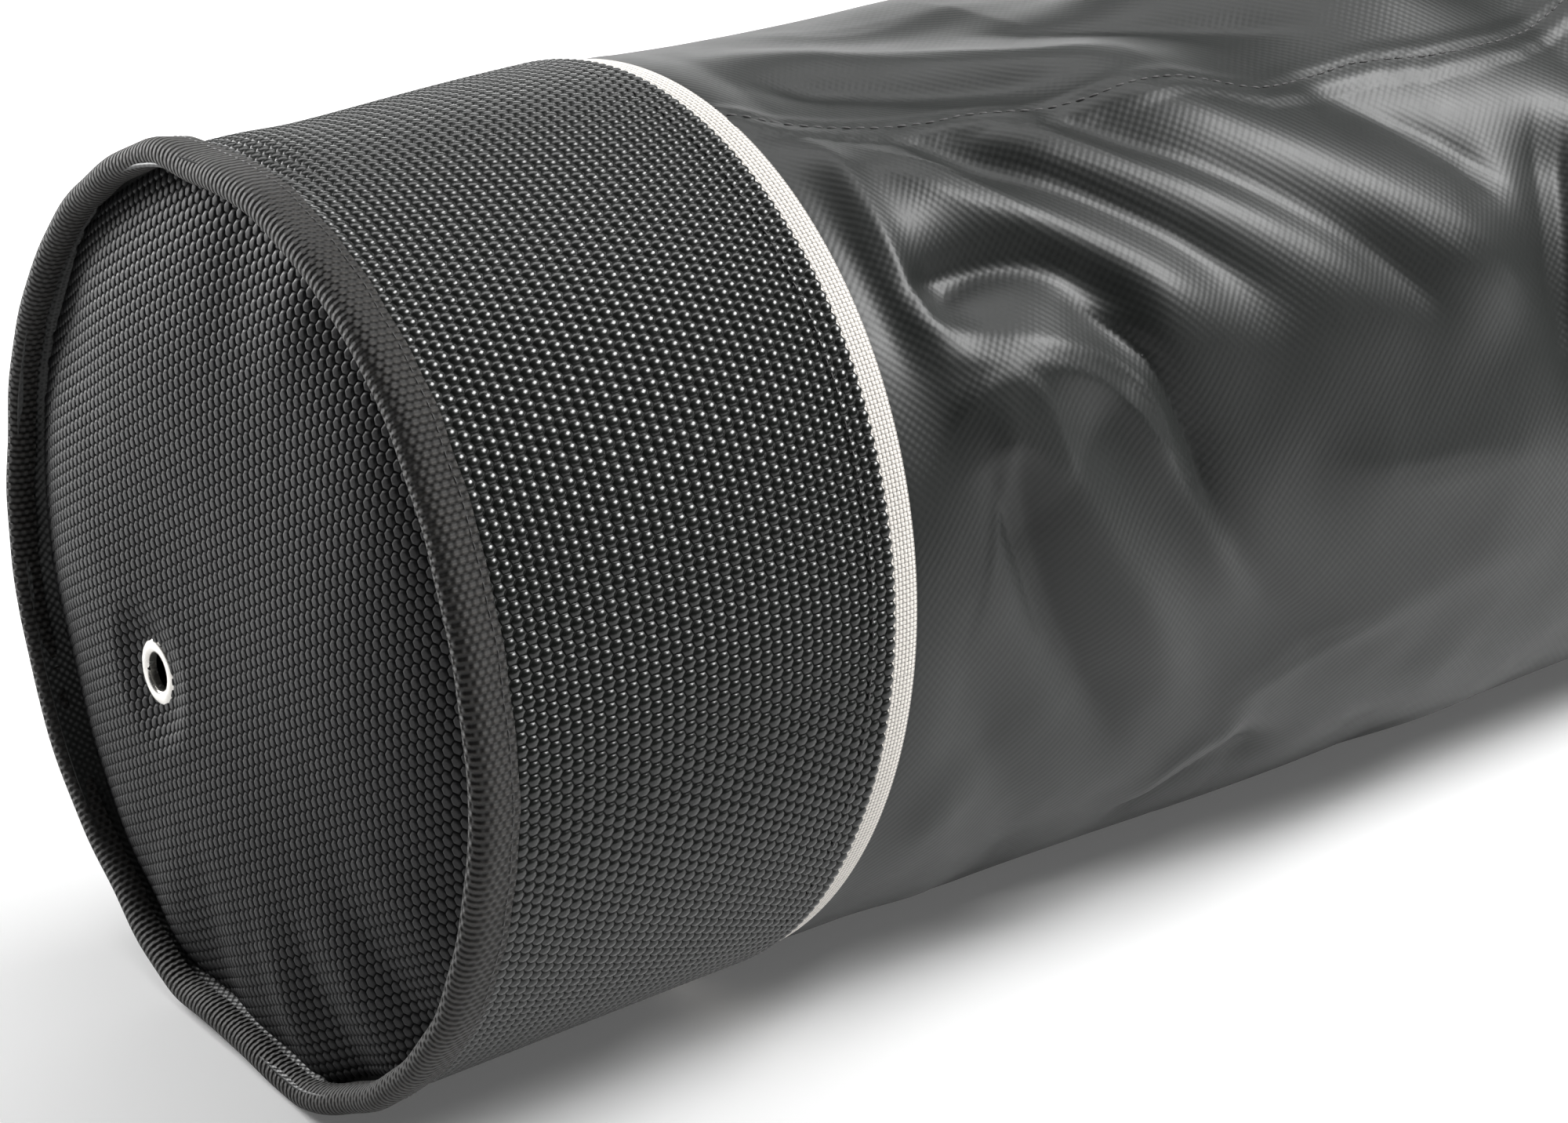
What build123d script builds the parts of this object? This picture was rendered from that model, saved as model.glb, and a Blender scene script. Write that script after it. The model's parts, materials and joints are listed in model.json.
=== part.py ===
"""Rope storage bag for tree climbing and rigging gear: a soft tarpaulin tube lying on its side.

The bag's axis runs along X. The sewn-in base faces -X and the hinged lid closes the mouth at +X.
The back, which carries the shoulder straps and the grab handle, faces +Y. The ground is z = 0.
Left and right are the wearer's, so the left strap is the upper one as the bag lies.
All sizes are in millimetres. Pieces are first built with x = 0 at the front of the base rim and
y = 0 on the bag's axis, and the whole bag is centred over the origin at the end.
"""
from build123d import *
import math
import os

# ---------------------------------------------------------------- driving dimensions
bag_length = 600.0        # front of the base rim to the edge of the mouth
tube_radius = 138.0       # outside of the tarpaulin tube
tube_wall = 1.2           # tarpaulin
lie_flat = 5.0            # how far the round section is pressed flat by the ground

base_wall = 1.6           # studded anti-slip fabric of the base
rim_depth = 12.0          # how far the sewn rim stands in front of the base's edge
base_bulge = 8.0          # how far the middle of the base stands in front of its edge
base_flat_radius = 96.0   # the middle of the base, which holds the drain eyelet
rim_tape_wall = 1.4       # black woven edge tape
rim_round = 3.0           # rounding of the folded tape
rim_cover = 1.5           # how much further than the base's edge the tape reaches over the band
rim_inner_gap = 0.18      # between the tape's inner leg and the dished base

trim_wall = 0.9           # pale woven trim tape
trim_width = 26.0
trim_shows = 9.5          # width of the trim that the lower band leaves uncovered
band_wall = 1.7           # studded anti-slip fabric of the lower band
band_end = 127.0          # where the lower band ends, from the front of the rim

eyelet_bore = 6.0         # radius
eyelet_flange = 10.25     # radius
eyelet_flange_wall = 0.9
eyelet_barrel_wall = 0.7
eyelet_y = 45.0           # towards the back
eyelet_drop = 29.0        # below the bag's axis
washer_wall = 0.8

seam_angle = 75.0         # the lengthwise seam, from the front (0) over the top (90)
seam_backing_width = 22.0
seam_backing_wall = 1.0
seam_backing_gap = 2.0    # from the base and from the mouth tape

mouth_tape_reach = 14.0   # tape leg over the tube at the mouth
mouth_tape_wall = 1.2

lid_skirt_depth = 36.0    # how far the skirt reaches over the tube
lid_skirt_wall = 1.2
lid_running_gap = 0.5     # left between the hook patch and the mouth tape as the lid swings past
lid_end_gap = 1.0         # between the mouth and the lid's panel
lid_panel_wall = 1.6
lid_hem_width = 14.0
lid_hem_wall = 1.0
lid_tape_wall = 1.2
lid_tape_width = 11.0     # each leg of the tape round the lid's corner
lid_tape_round = 1.0

hinge_width = 60.0        # webbing that hinges the lid, measured round the bag
hinge_leaf = 25.0         # length sewn to each side
hinge_wall = 1.4
hinge_pivot_lift = 3.0    # pivot above the tube's surface
hinge_leaf_gap = 3.0      # from the pivot to each leaf

patch_length = 24.0       # hook and loop patches under the lid's skirt, along X
patch_span = 34.0         # degrees round the bag
patch_wall = 1.0
hook_inset = 4.0          # from the mouth

pull_tab_width = 25.0
pull_tab_wall = 1.8
pull_tab_beyond = 12.0    # how far it stands past the lid's hem
pull_tab_gap = 2.0        # from the tape round the lid's corner

pocket_width = 110.0      # clear name pocket on the lid, along Y
pocket_height = 70.0
pocket_wall = 0.6
pocket_round = 6.0
card_margin = 9.0
card_wall = 0.4

strap_angles = {"left": 156.0, "right": 204.0}   # shoulder straps, either side of the back's middle
yoke_to_mouth = 86.0      # from the mouth to the patch that the pads and the grab handle are sewn to
yoke_length = 62.0
yoke_wall = 1.6
yoke_span = 104.0         # degrees round the bag

pad_width = 56.0
pad_wall = 11.0
pad_bow = 16.0            # how far the middle of a pad bows away from the tube
pad_length = 228.0
pad_end_wall = 3.0        # where a pad thins out to be sewn down
pad_end_length = 24.0
pad_round = 2.5

webbing_width = 25.0
webbing_wall = 1.8
webbing_gap = 0.3         # running clearance of the webbing in the adjuster
anchor_gap = 2.0          # between the trim tape and the webbing's anchor patch
anchor_length = 44.0
anchor_width = 46.0
anchor_wall = 1.6
anchor_margin = 6.0       # from the anchor patch's edge to the webbing's end
webbing_sewn = 30.0
tail_length = 66.0        # free end of the adjusting webbing, beyond the adjuster
tail_gap = 1.8            # from the tail's end down to the lower webbing

adjuster_length = 27.0    # ladder-lock adjuster, along X
adjuster_width = 34.0
adjuster_wall = 4.2
adjuster_bar = 4.2        # width of each of its three bars
adjuster_rail = 3.6       # width of its two side rails
adjuster_lift = 8.0       # from the tube to its underside
adjuster_gap = 7.0        # between the pad's end and the adjuster
tilt_gap = 0.6            # running gap round the adjuster's fixed bar

handle_gap = 6.0          # between the pads' sewn ends and the grab handle
handle_span = 120.0       # between its two ends, vertical as the bag lies
handle_rise = 38.0
handle_width = 22.0
handle_wall = 3.0
handle_stand = 14.0       # the pivot line's height over the tube at the handle's ends
handle_end_gap = 0.3      # between each end and the root that it folds from
grip_span = 70.0
grip_wall = 2.2
grip_gap = 0.3
root_length = 34.0        # webbing sewn down at each end of the handle
root_wall = 2.2

loop_width = 20.0         # rope tie-in loops inside the bag
loop_radius = 13.0        # inside of the loop's bend
loop_leg = 9.0
loop_wall = 1.6
loop_tab_span = 16.0      # degrees
loop_inset = 34.0         # from the front of the rim and from the mouth

# ---------------------------------------------------------------- worked out from them
band_in = tube_radius + trim_wall
band_out = band_in + band_wall
rim_out = band_out + rim_tape_wall
axis_height = rim_out - lie_flat
tube_in = tube_radius - tube_wall
lip_in = tube_in - base_wall
rim_in = lip_in - rim_tape_wall
base_front = rim_depth - base_bulge - base_wall       # front of the base's flat middle
base_back = base_front + base_wall
base_slope = base_bulge / (lip_in - base_flat_radius)
# The tape's inner leg comes nearest to the dished base where it is pressed flat.
rim_inner_end = rim_depth - base_wall - base_slope * (lip_in - rim_in + lie_flat) - rim_inner_gap
trim_from = band_end + trim_shows - trim_width
trim_to = trim_from + trim_width

hinge_x = bag_length - lid_skirt_depth - hinge_leaf_gap
hinge_y = tube_radius + hinge_pivot_lift
mouth_tape_out = tube_radius + mouth_tape_wall
skirt_from = bag_length - lid_skirt_depth
# As the lid opens, the front of the skirt's free end swings inward by this much at the mouth.
swing_in = (bag_length - hinge_x) ** 2 / (4 * tube_radius)
skirt_in = mouth_tape_out + swing_in + patch_wall + lid_running_gap
skirt_out = skirt_in + lid_skirt_wall
lid_out = skirt_out + max(lid_hem_wall, lid_tape_wall)
lid_flat = lid_out - axis_height                      # pressed flat down to the same ground
lid_inside = bag_length + lid_end_gap
lid_outside = lid_inside + lid_panel_wall
lid_tape_from = lid_outside - lid_tape_width

yoke_from = bag_length - yoke_to_mouth - yoke_length
yoke_out = tube_radius + yoke_wall
pad_to = yoke_from + pad_end_length + anchor_margin
pad_from = pad_to - pad_length
adjuster_to = pad_from - adjuster_gap
adjuster_from = adjuster_to - adjuster_length
adjuster_middle = (adjuster_from + adjuster_to) / 2
adjuster_under = tube_radius + adjuster_lift
adjuster_over = adjuster_under + adjuster_wall
pivot_x = adjuster_to - adjuster_bar / 2
pivot_r = adjuster_under + adjuster_wall / 2
anchor_from = trim_to + anchor_gap
webbing_from = anchor_from + anchor_margin
webbing_sewn_to = webbing_from + webbing_sewn
webbing_low = tube_radius + anchor_wall               # underside of the webbing where it is sewn
webbing_high = adjuster_under - webbing_gap - webbing_wall
tail_to = adjuster_from - tail_length
webbing_rise = (webbing_high - webbing_low) / (adjuster_from - webbing_sewn_to)
tail_low = webbing_low + webbing_wall + max(0, tail_to - webbing_sewn_to) * webbing_rise + tail_gap

handle_x = pad_to + handle_gap + handle_width / 2
handle_half = handle_span / 2
handle_y = math.sqrt(tube_radius**2 - handle_half**2) + handle_stand
handle_arc = (handle_half**2 + handle_rise**2) / (2 * handle_rise)   # radius of its middle line
handle_arc_y = handle_y + handle_rise - handle_arc

reach = 4 * rim_out                                   # longer than anything that it cuts


# ---------------------------------------------------------------- helpers
def drum(x0, x1, radius, flat=lie_flat):
    """Solid round bar along the bag's axis, pressed flat where it lies on the ground."""
    middle = (x0 + x1) / 2
    bar = Pos(middle, 0, axis_height) * Rot(0, 90, 0) * Cylinder(radius, x1 - x0)
    floor = axis_height - radius + flat
    return bar & (Pos(middle, 0, floor + reach / 2) * Box(x1 - x0 + 2, reach, reach))


def sleeve(x0, x1, inner, outer, flat=lie_flat):
    """Open tube along the bag's axis, with the same pressed-flat underside inside and out."""
    return drum(x0, x1, outer, flat) - drum(x0 - 1, x1 + 1, inner, flat)


def around(shape, angle):
    """Turns a shape built as if on top of the bag, with z as the radius, to an angle round it.

    Angle 0 is the front (-Y), 90 the top and 180 the back (+Y).
    """
    return Pos(0, 0, axis_height) * Rot(90 - angle, 0, 0) * shape


def across(x, y=0.0, z=axis_height):
    """Plane across the bag's axis, whose normal is +X and whose own x is the bag's +Y."""
    return Plane(origin=(x, y, z), x_dir=(0, 1, 0), z_dir=(1, 0, 0))


def curved_patch(x0, x1, inner, outer, angle, span):
    """Piece of tube wall between two radii, spanning an angle round the bag."""
    far = 2 * outer
    side = far * math.tan(math.radians(span / 2))
    wedge = make_face(Polyline((0, 0), (side, far), (-side, far), (0, 0)))
    sector = (Circle(outer) - Circle(inner)) & wedge
    return around(extrude(across(x0, z=0) * sector, x1 - x0), angle)


def strip(outline, width):
    """Flat piece with the given side outline in X and radius, with its width across."""
    return extrude(Plane.XZ * outline, width / 2, both=True)


def ringed(x, y, z, inner, outer, length):
    """Short round tube along X."""
    return extrude(across(x, y, z) * (Circle(outer) - Circle(inner)), length)


# ---------------------------------------------------------------- base
def base_panel():
    """Dished disc: a flat middle, a conical border, and a lip that turns forward into the rim."""
    corners = [
        (0, base_front),
        (base_flat_radius, base_front),
        (lip_in, rim_depth - base_wall),
        (lip_in, rim_tape_wall),
        (tube_in, rim_tape_wall),
        (tube_in, rim_depth),
        (lip_in, rim_depth),
        (base_flat_radius, base_back),
        (0, base_back),
        (0, base_front),
    ]
    dish = revolve(make_face(Polyline(*corners)), Axis.Y)
    turned = Pos(0, 0, axis_height) * Rot(0, 0, -90) * dish
    pressed = turned & drum(0, rim_depth + 1, tube_in)
    floor = sleeve(rim_tape_wall, rim_depth, lip_in, tube_in)
    under = Pos(rim_depth / 2, 0, (axis_height - lip_in + lie_flat) / 2) * Box(
        rim_depth, reach, axis_height - lip_in + lie_flat
    )
    hole = Pos(base_front, eyelet_y, axis_height - eyelet_drop) * Rot(0, 90, 0) * Cylinder(
        eyelet_bore + eyelet_barrel_wall, 4 * base_wall
    )
    return pressed + (floor & under) - hole


def base_binding():
    """Woven tape folded over the base seam: a ring with a U section, open towards the bag."""
    end = rim_depth + rim_cover
    ring = sleeve(0, end, rim_in, rim_out)
    ring = fillet(ring.edges().filter_by_position(Axis.X, -0.01, 0.01), rim_round)
    seam = sleeve(rim_tape_wall, end + 1, lip_in, band_out)
    return ring - seam - drum(rim_inner_end, end + 1, lip_in)


def drain_eyelet():
    """Flanged barrel through the base, rolled over a washer inside."""
    z = axis_height - eyelet_drop
    flange_face = base_front - eyelet_flange_wall
    barrel_length = base_wall + washer_wall
    barrel = ringed(base_front, eyelet_y, z, eyelet_bore, eyelet_bore + eyelet_barrel_wall, barrel_length)
    flange = ringed(flange_face, eyelet_y, z, eyelet_bore, eyelet_flange, eyelet_flange_wall)
    rims = flange.edges().filter_by_position(Axis.X, flange_face - 0.01, flange_face + 0.01)
    outer_rim = rims.filter_by(lambda edge: edge.radius > eyelet_bore + 1)
    return fillet(outer_rim, eyelet_flange_wall * 0.6) + barrel


def drain_washer():
    """Ring that the eyelet's barrel is set against, inside the bag."""
    z = axis_height - eyelet_drop
    return ringed(base_back, eyelet_y, z, eyelet_bore + eyelet_barrel_wall, eyelet_flange, washer_wall)


# ---------------------------------------------------------------- tube
def lower_band():
    return sleeve(rim_tape_wall, band_end, band_in, band_out)


def trim_tape():
    return sleeve(trim_from, trim_to, tube_radius, band_in)


def body_tube():
    return sleeve(rim_tape_wall, bag_length - mouth_tape_wall, tube_in, tube_radius)


def seam_backing():
    """Strip inside the tube that the lengthwise seam is stitched through."""
    start = rim_depth + seam_backing_gap
    end = bag_length - mouth_tape_reach - seam_backing_gap
    span = math.degrees(seam_backing_width / tube_in)
    return curved_patch(start, end, tube_in - seam_backing_wall, tube_in, seam_angle, span)


def mouth_binding():
    """Tape folded over the tube's edge at the mouth."""
    ring = sleeve(bag_length - mouth_tape_reach, bag_length, tube_in - mouth_tape_wall, mouth_tape_out)
    return ring - sleeve(0, bag_length - mouth_tape_wall, tube_in, tube_radius)


def rope_tie_loop(x_middle):
    """Webbing loop sewn to the top of the bag's inside, for tying in a rope's end."""
    x0 = x_middle - loop_width / 2
    tab = curved_patch(x0, x0 + loop_width, tube_in - loop_wall, tube_in, 90, loop_tab_span)
    outer = loop_radius + loop_wall
    bend = tube_in - loop_wall - loop_leg
    leg_top = math.sqrt((tube_in - loop_wall / 2) ** 2 - outer**2)
    leg_length = leg_top - bend
    sides = Rectangle(2 * outer, leg_length) - Rectangle(2 * loop_radius, leg_length)
    lower_half = Pos(0, -outer) * Rectangle(2 * outer, 2 * outer)
    bow = (Circle(outer) - Circle(loop_radius)) & lower_half
    outline = Pos(0, (leg_top + bend) / 2) * sides + Pos(0, bend) * bow
    return tab + extrude(across(x0) * outline, loop_width)


# ---------------------------------------------------------------- lid
def lid_panel():
    return drum(lid_inside, lid_outside, skirt_in, lid_flat)


def lid_skirt():
    return sleeve(skirt_from, lid_outside, skirt_in, skirt_out, lid_flat)


def lid_binding():
    """Tape round the lid's corner: one leg on the skirt and one on the panel."""
    far = lid_outside + lid_tape_wall
    block = drum(lid_tape_from, far, skirt_out + lid_tape_wall, lid_flat)
    block = fillet(block.edges().filter_by_position(Axis.X, far - 0.01, far + 0.01), lid_tape_round)
    lid = drum(lid_tape_from - 1, lid_outside, skirt_out, lid_flat)
    middle = drum(lid_tape_from - 1, far + 1, skirt_in - lid_tape_width, lid_flat)
    return block - lid - middle


def lid_hem():
    return sleeve(skirt_from, skirt_from + lid_hem_width, skirt_out, skirt_out + lid_hem_wall, lid_flat)


def hook_patch():
    end = bag_length - hook_inset
    return curved_patch(end - patch_length, end, skirt_in - patch_wall, skirt_in, 0, patch_span)


def loop_patch():
    end = bag_length - mouth_tape_reach
    return curved_patch(end - patch_length, end, tube_radius, tube_radius + patch_wall, 0, patch_span)


def hinge_leaf_piece(x0, seat):
    """One leaf of the hinge webbing, in the middle of the bag's back."""
    span = math.degrees(hinge_width / seat)
    return curved_patch(x0, x0 + hinge_leaf, seat, seat + hinge_wall, 180, span)


def lid_pull_tab():
    span = math.degrees(pull_tab_width / lid_out)
    start = skirt_from - pull_tab_beyond
    end = lid_tape_from - pull_tab_gap
    seat = skirt_out + lid_hem_wall
    return curved_patch(start, end, seat, seat + pull_tab_wall, 0, span)


def name_card():
    window = Rectangle(pocket_width - 2 * card_margin, pocket_height - 2 * card_margin)
    return extrude(across(lid_outside) * window, card_wall)


def name_pocket():
    """Clear pocket sewn to the lid over the card."""
    outline = RectangleRounded(pocket_width, pocket_height, pocket_round)
    return extrude(across(lid_outside) * outline, card_wall + pocket_wall) - name_card()


# ---------------------------------------------------------------- shoulder straps
def strap_yoke():
    return curved_patch(yoke_from, yoke_from + yoke_length, tube_radius, yoke_out, 180, yoke_span)


def shoulder_pad(angle):
    """Foam strap, thin where it is sewn to the yoke, bowed away from the tube at its middle."""
    x_thin = pad_to - pad_end_length
    x_bow = (pad_from + x_thin) / 2
    thin_top = yoke_out + pad_end_wall
    bow = tube_radius + pad_bow
    outline = make_face(
        Polyline((pad_from, adjuster_under + pad_wall), (pad_from, adjuster_under))
        + ThreePointArc((pad_from, adjuster_under), (x_bow, bow), (x_thin, yoke_out))
        + Polyline((x_thin, yoke_out), (pad_to, yoke_out), (pad_to, thin_top), (x_thin, thin_top))
        + ThreePointArc((x_thin, thin_top), (x_bow, bow + pad_wall), (pad_from, adjuster_under + pad_wall))
    )
    pad = strip(outline, pad_width)
    long_edges = pad.edges().filter_by(GeomType.CIRCLE).sort_by(SortBy.LENGTH)[-2:]
    return around(fillet(long_edges, pad_round), angle)


def adjuster_keeper(angle):
    """Webbing from the pad's lower end, folded round the adjuster's fixed bar."""
    hole = adjuster_wall / 2 + tilt_gap
    fold = Pos(pivot_x, pivot_r) * (Circle(hole + webbing_wall) - Circle(hole))
    arm_length = pad_from - pivot_x - hole
    arm = Pos(pad_from - arm_length / 2, pivot_r) * Rectangle(arm_length, 2 * webbing_wall)
    return around(strip(fold + arm, webbing_width - 2), angle)


def strap_adjuster(angle):
    """Ladder lock: two side rails and three bars. The fixed bar is round, to turn in its keeper."""
    slot = (adjuster_length - 3 * adjuster_bar) / 2
    inside = adjuster_width - 2 * adjuster_rail
    plate = Rectangle(adjuster_length, adjuster_width)
    lower_slot = Pos(-(adjuster_bar + slot) / 2, 0) * Rectangle(slot, inside)
    # The upper slot runs out through the end, and the round bar below closes it.
    open_slot = slot + adjuster_bar
    upper_slot = Pos((adjuster_bar + open_slot) / 2, 0) * Rectangle(open_slot, inside)
    outline = Pos(adjuster_middle, 0) * (plate - lower_slot - upper_slot)
    ladder = extrude(Plane.XY.offset(adjuster_under) * outline, adjuster_wall)
    bar = Pos(pivot_x, 0, pivot_r) * Rot(90, 0, 0) * Cylinder(adjuster_wall / 2, inside + adjuster_rail)
    return around(ladder + bar, angle)


def strap_webbing(angle):
    """Lower webbing, from its anchor patch up to the underside of the adjuster."""
    under = [
        (webbing_from, webbing_low),
        (webbing_sewn_to, webbing_low),
        (adjuster_from, webbing_high),
        (adjuster_middle, webbing_high),
    ]
    over = [(x, r + webbing_wall) for x, r in reversed(under)]
    return around(strip(make_face(Polyline(*under, *over, under[0])), webbing_width), angle)


def strap_tail(angle):
    """Webbing that wraps the adjuster's middle bar, crosses its lower bar and hangs free."""
    wrap_in = adjuster_middle + adjuster_bar / 2 + webbing_gap
    wrap_out = wrap_in + webbing_wall
    top = adjuster_over + webbing_gap
    outline = [
        (wrap_in, pivot_r),
        (wrap_out, pivot_r),
        (wrap_out, top + webbing_wall),
        (adjuster_from, top + webbing_wall),
        (tail_to, tail_low + webbing_wall),
        (tail_to, tail_low),
        (adjuster_from, top),
        (wrap_in, top),
        (wrap_in, pivot_r),
    ]
    return around(strip(make_face(Polyline(*outline)), webbing_width), angle)


def strap_anchor(angle):
    span = math.degrees(anchor_width / tube_radius)
    end = anchor_from + anchor_length
    return curved_patch(anchor_from, end, tube_radius, webbing_low, angle, span)


# ---------------------------------------------------------------- grab handle
def handle_band(near, far, half_height, width):
    """Ring about the handle's arc centre, from `near` inside to `far` outside its middle line."""
    ring = Circle(handle_arc + far) - Circle(handle_arc - near)
    kept = Pos(reach / 2, 0) * Rectangle(reach, 2 * half_height)
    return extrude(across(handle_x - width / 2, handle_arc_y) * (ring & kept), width)


def grab_handle():
    half = handle_wall / 2
    return handle_band(half, half, handle_half, handle_width)


def handle_grip():
    """Soft sleeve round the middle of the handle."""
    inner = handle_wall / 2 + grip_gap
    outer = inner + grip_wall
    body = handle_band(outer, outer, grip_span / 2, handle_width + 2 * (grip_gap + grip_wall))
    return body - handle_band(inner, inner, grip_span / 2 + 1, handle_width + 2 * grip_gap)


def handle_root(side):
    """Webbing sewn flat to the yoke, with a fold that rises to the handle's end."""
    x0 = handle_x - handle_width / 2
    seat = yoke_out + root_wall
    near = handle_half + handle_end_gap
    span = math.degrees(root_length / yoke_out)
    middle = math.degrees(math.asin(near / seat)) + span / 2
    tab = curved_patch(x0, x0 + handle_width, yoke_out, seat, 180 - side * middle, span)
    height = handle_y + handle_wall
    fold = Pos(handle_x, height / 2, axis_height + side * (near + handle_wall / 2)) * Box(
        handle_width, height, handle_wall
    )
    return tab + (fold - drum(x0 - 1, x0 + handle_width + 1, seat))


# ---------------------------------------------------------------- assembly
def build():
    parts = {
        "base_panel": base_panel(),
        "base_binding": base_binding(),
        "drain_eyelet": drain_eyelet(),
        "drain_washer": drain_washer(),
        "lower_band": lower_band(),
        "trim_tape": trim_tape(),
        "body_tube": body_tube(),
        "seam_backing": seam_backing(),
        "mouth_binding": mouth_binding(),
        "rope_tie_loop_base": rope_tie_loop(loop_inset),
        "rope_tie_loop_mouth": rope_tie_loop(bag_length - loop_inset),
        "loop_patch": loop_patch(),
        "hinge_strap_body": hinge_leaf_piece(hinge_x - hinge_leaf_gap - hinge_leaf, tube_radius),
        "hinge_strap_lid": hinge_leaf_piece(hinge_x + hinge_leaf_gap, lid_out),
        "lid_panel": lid_panel(),
        "lid_skirt": lid_skirt(),
        "lid_binding": lid_binding(),
        "lid_hem": lid_hem(),
        "hook_patch": hook_patch(),
        "lid_pull_tab": lid_pull_tab(),
        "name_pocket": name_pocket(),
        "name_card": name_card(),
        "strap_yoke": strap_yoke(),
        "grab_handle": grab_handle(),
        "handle_grip": handle_grip(),
        "handle_root_upper": handle_root(1),
        "handle_root_lower": handle_root(-1),
    }
    for side, angle in strap_angles.items():
        parts[f"shoulder_pad_{side}"] = shoulder_pad(angle)
        parts[f"adjuster_keeper_{side}"] = adjuster_keeper(angle)
        parts[f"strap_adjuster_{side}"] = strap_adjuster(angle)
        parts[f"strap_tail_{side}"] = strap_tail(angle)
        parts[f"strap_webbing_{side}"] = strap_webbing(angle)
        parts[f"strap_anchor_{side}"] = strap_anchor(angle)
    return parts


def centred(parts):
    """Moves the whole bag so that its box is centred over the origin and stands on z = 0."""
    boxes = [shape.bounding_box() for shape in parts.values()]
    x = (min(box.min.X for box in boxes) + max(box.max.X for box in boxes)) / 2
    y = (min(box.min.Y for box in boxes) + max(box.max.Y for box in boxes)) / 2
    print("moved by", round(-x, 4), round(-y, 4))
    return {node: Pos(-x, -y, 0) * shape for node, shape in parts.items()}


print("before that move, the lid's hinge axis is at x, y =", hinge_x, hinge_y)
print("the handle's is at", handle_x, round(handle_y, 4))
print("the adjusters' bars are at x and radius", pivot_x, pivot_r)
os.makedirs("parts", exist_ok=True)
for node, shape in centred(build()).items():
    export_step(shape, f"parts/{node}.step")
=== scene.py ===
"""Looks of the rope storage bag: a soft tarpaulin tube lying on its side.

Sizes are in millimetres unless a name says otherwise. x is measured from the front of the base rim,
r from the bag's axis, and deg round the bag: 0 at the front, 90 on top, 180 at the back.
"""
import json
import math

import bpy
import numpy as np
from bpy.props import FloatProperty, FloatVectorProperty, IntProperty, PointerProperty
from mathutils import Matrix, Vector


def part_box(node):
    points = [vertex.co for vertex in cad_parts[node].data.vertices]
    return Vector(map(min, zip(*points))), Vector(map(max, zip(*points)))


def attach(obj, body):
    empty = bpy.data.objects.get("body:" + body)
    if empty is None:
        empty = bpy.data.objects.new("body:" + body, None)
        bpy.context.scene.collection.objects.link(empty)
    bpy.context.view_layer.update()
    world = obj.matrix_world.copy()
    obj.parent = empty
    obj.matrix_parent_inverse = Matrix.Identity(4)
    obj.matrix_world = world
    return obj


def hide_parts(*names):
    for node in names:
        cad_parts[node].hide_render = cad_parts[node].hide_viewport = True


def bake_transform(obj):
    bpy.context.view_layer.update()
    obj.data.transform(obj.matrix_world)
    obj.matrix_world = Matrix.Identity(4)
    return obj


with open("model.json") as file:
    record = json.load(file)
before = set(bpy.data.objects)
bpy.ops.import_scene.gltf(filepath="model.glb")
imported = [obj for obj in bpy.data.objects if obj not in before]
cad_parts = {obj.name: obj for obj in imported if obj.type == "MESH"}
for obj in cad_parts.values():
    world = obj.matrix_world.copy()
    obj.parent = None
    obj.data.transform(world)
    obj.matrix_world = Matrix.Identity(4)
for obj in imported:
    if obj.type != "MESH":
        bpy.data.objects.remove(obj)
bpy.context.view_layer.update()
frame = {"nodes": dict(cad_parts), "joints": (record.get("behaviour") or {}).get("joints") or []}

bl_info = {
    "name": "Rope Storage Bag",
    "version": (1, 0, 0),
    "blender": (4, 5, 0),
    "location": "View3D > Sidebar > Rope Bag",
    "description": "Builds the soft goods, stitching and finishes of a round tarpaulin rope bag",
    "category": "Object",
}


# ---------------------------------------------------------------- places and sizes from the frame
def reach_of(node):
    """A node's lowest and highest corner, in millimetres."""
    low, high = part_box(node)
    return np.array(low) * 1000, np.array(high) * 1000


BAND_LOW, BAND_HIGH = reach_of("lower_band")
TUBE_LOW, TUBE_HIGH = reach_of("body_tube")
RIM_LOW, RIM_HIGH = reach_of("base_binding")
LID_LOW, LID_HIGH = reach_of("lid_binding")
RIM_X = RIM_LOW[0]
AXIS_Y = (TUBE_LOW[1] + TUBE_HIGH[1]) / 2
TUBE_R = (TUBE_HIGH[1] - TUBE_LOW[1]) / 2
AXIS_Z = TUBE_HIGH[2] - TUBE_R
BAND_R = BAND_HIGH[2] - AXIS_Z
RIM_R = RIM_HIGH[2] - AXIS_Z
LIE_FLAT = RIM_R - AXIS_Z
MM_PER_DEG = math.radians(TUBE_R)


def span_x(node):
    low, high = reach_of(node)
    return low[0] - RIM_X, high[0] - RIM_X


def joint_named(name):
    return next(j for j in frame["joints"] if j["name"] == name)


# ---------------------------------------------------------------- shape helpers
def ease(value, low, high):
    """0 before low, 1 after high, smooth between."""
    t = np.clip((value - low) / (high - low), 0, 1)
    return t * t * (3 - 2 * t)


def hump(value, middle, width):
    return np.exp(-(((value - middle) / width) ** 2))


def turn(deg, middle):
    """Angle from middle, the short way round, from -180 to 180 degrees."""
    return (deg - middle + 180) % 360 - 180


def smooth_line(points, parts):
    """Points along a soft curve through the given ones."""
    p = np.asarray(points, float)
    padded = np.vstack([2 * p[0] - p[1], p, 2 * p[-1] - p[-2]])
    t = (np.arange(parts) / parts)[:, None]
    made = [
        0.5 * (2 * b + (c - a) * t + (2 * a - 5 * b + 4 * c - d) * t**2 + (3 * b - a - 3 * c + d) * t**3)
        for a, b, c, d in zip(padded, padded[1:], padded[2:], padded[3:])
    ]
    return np.vstack([*made, p[-1:]])


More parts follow.
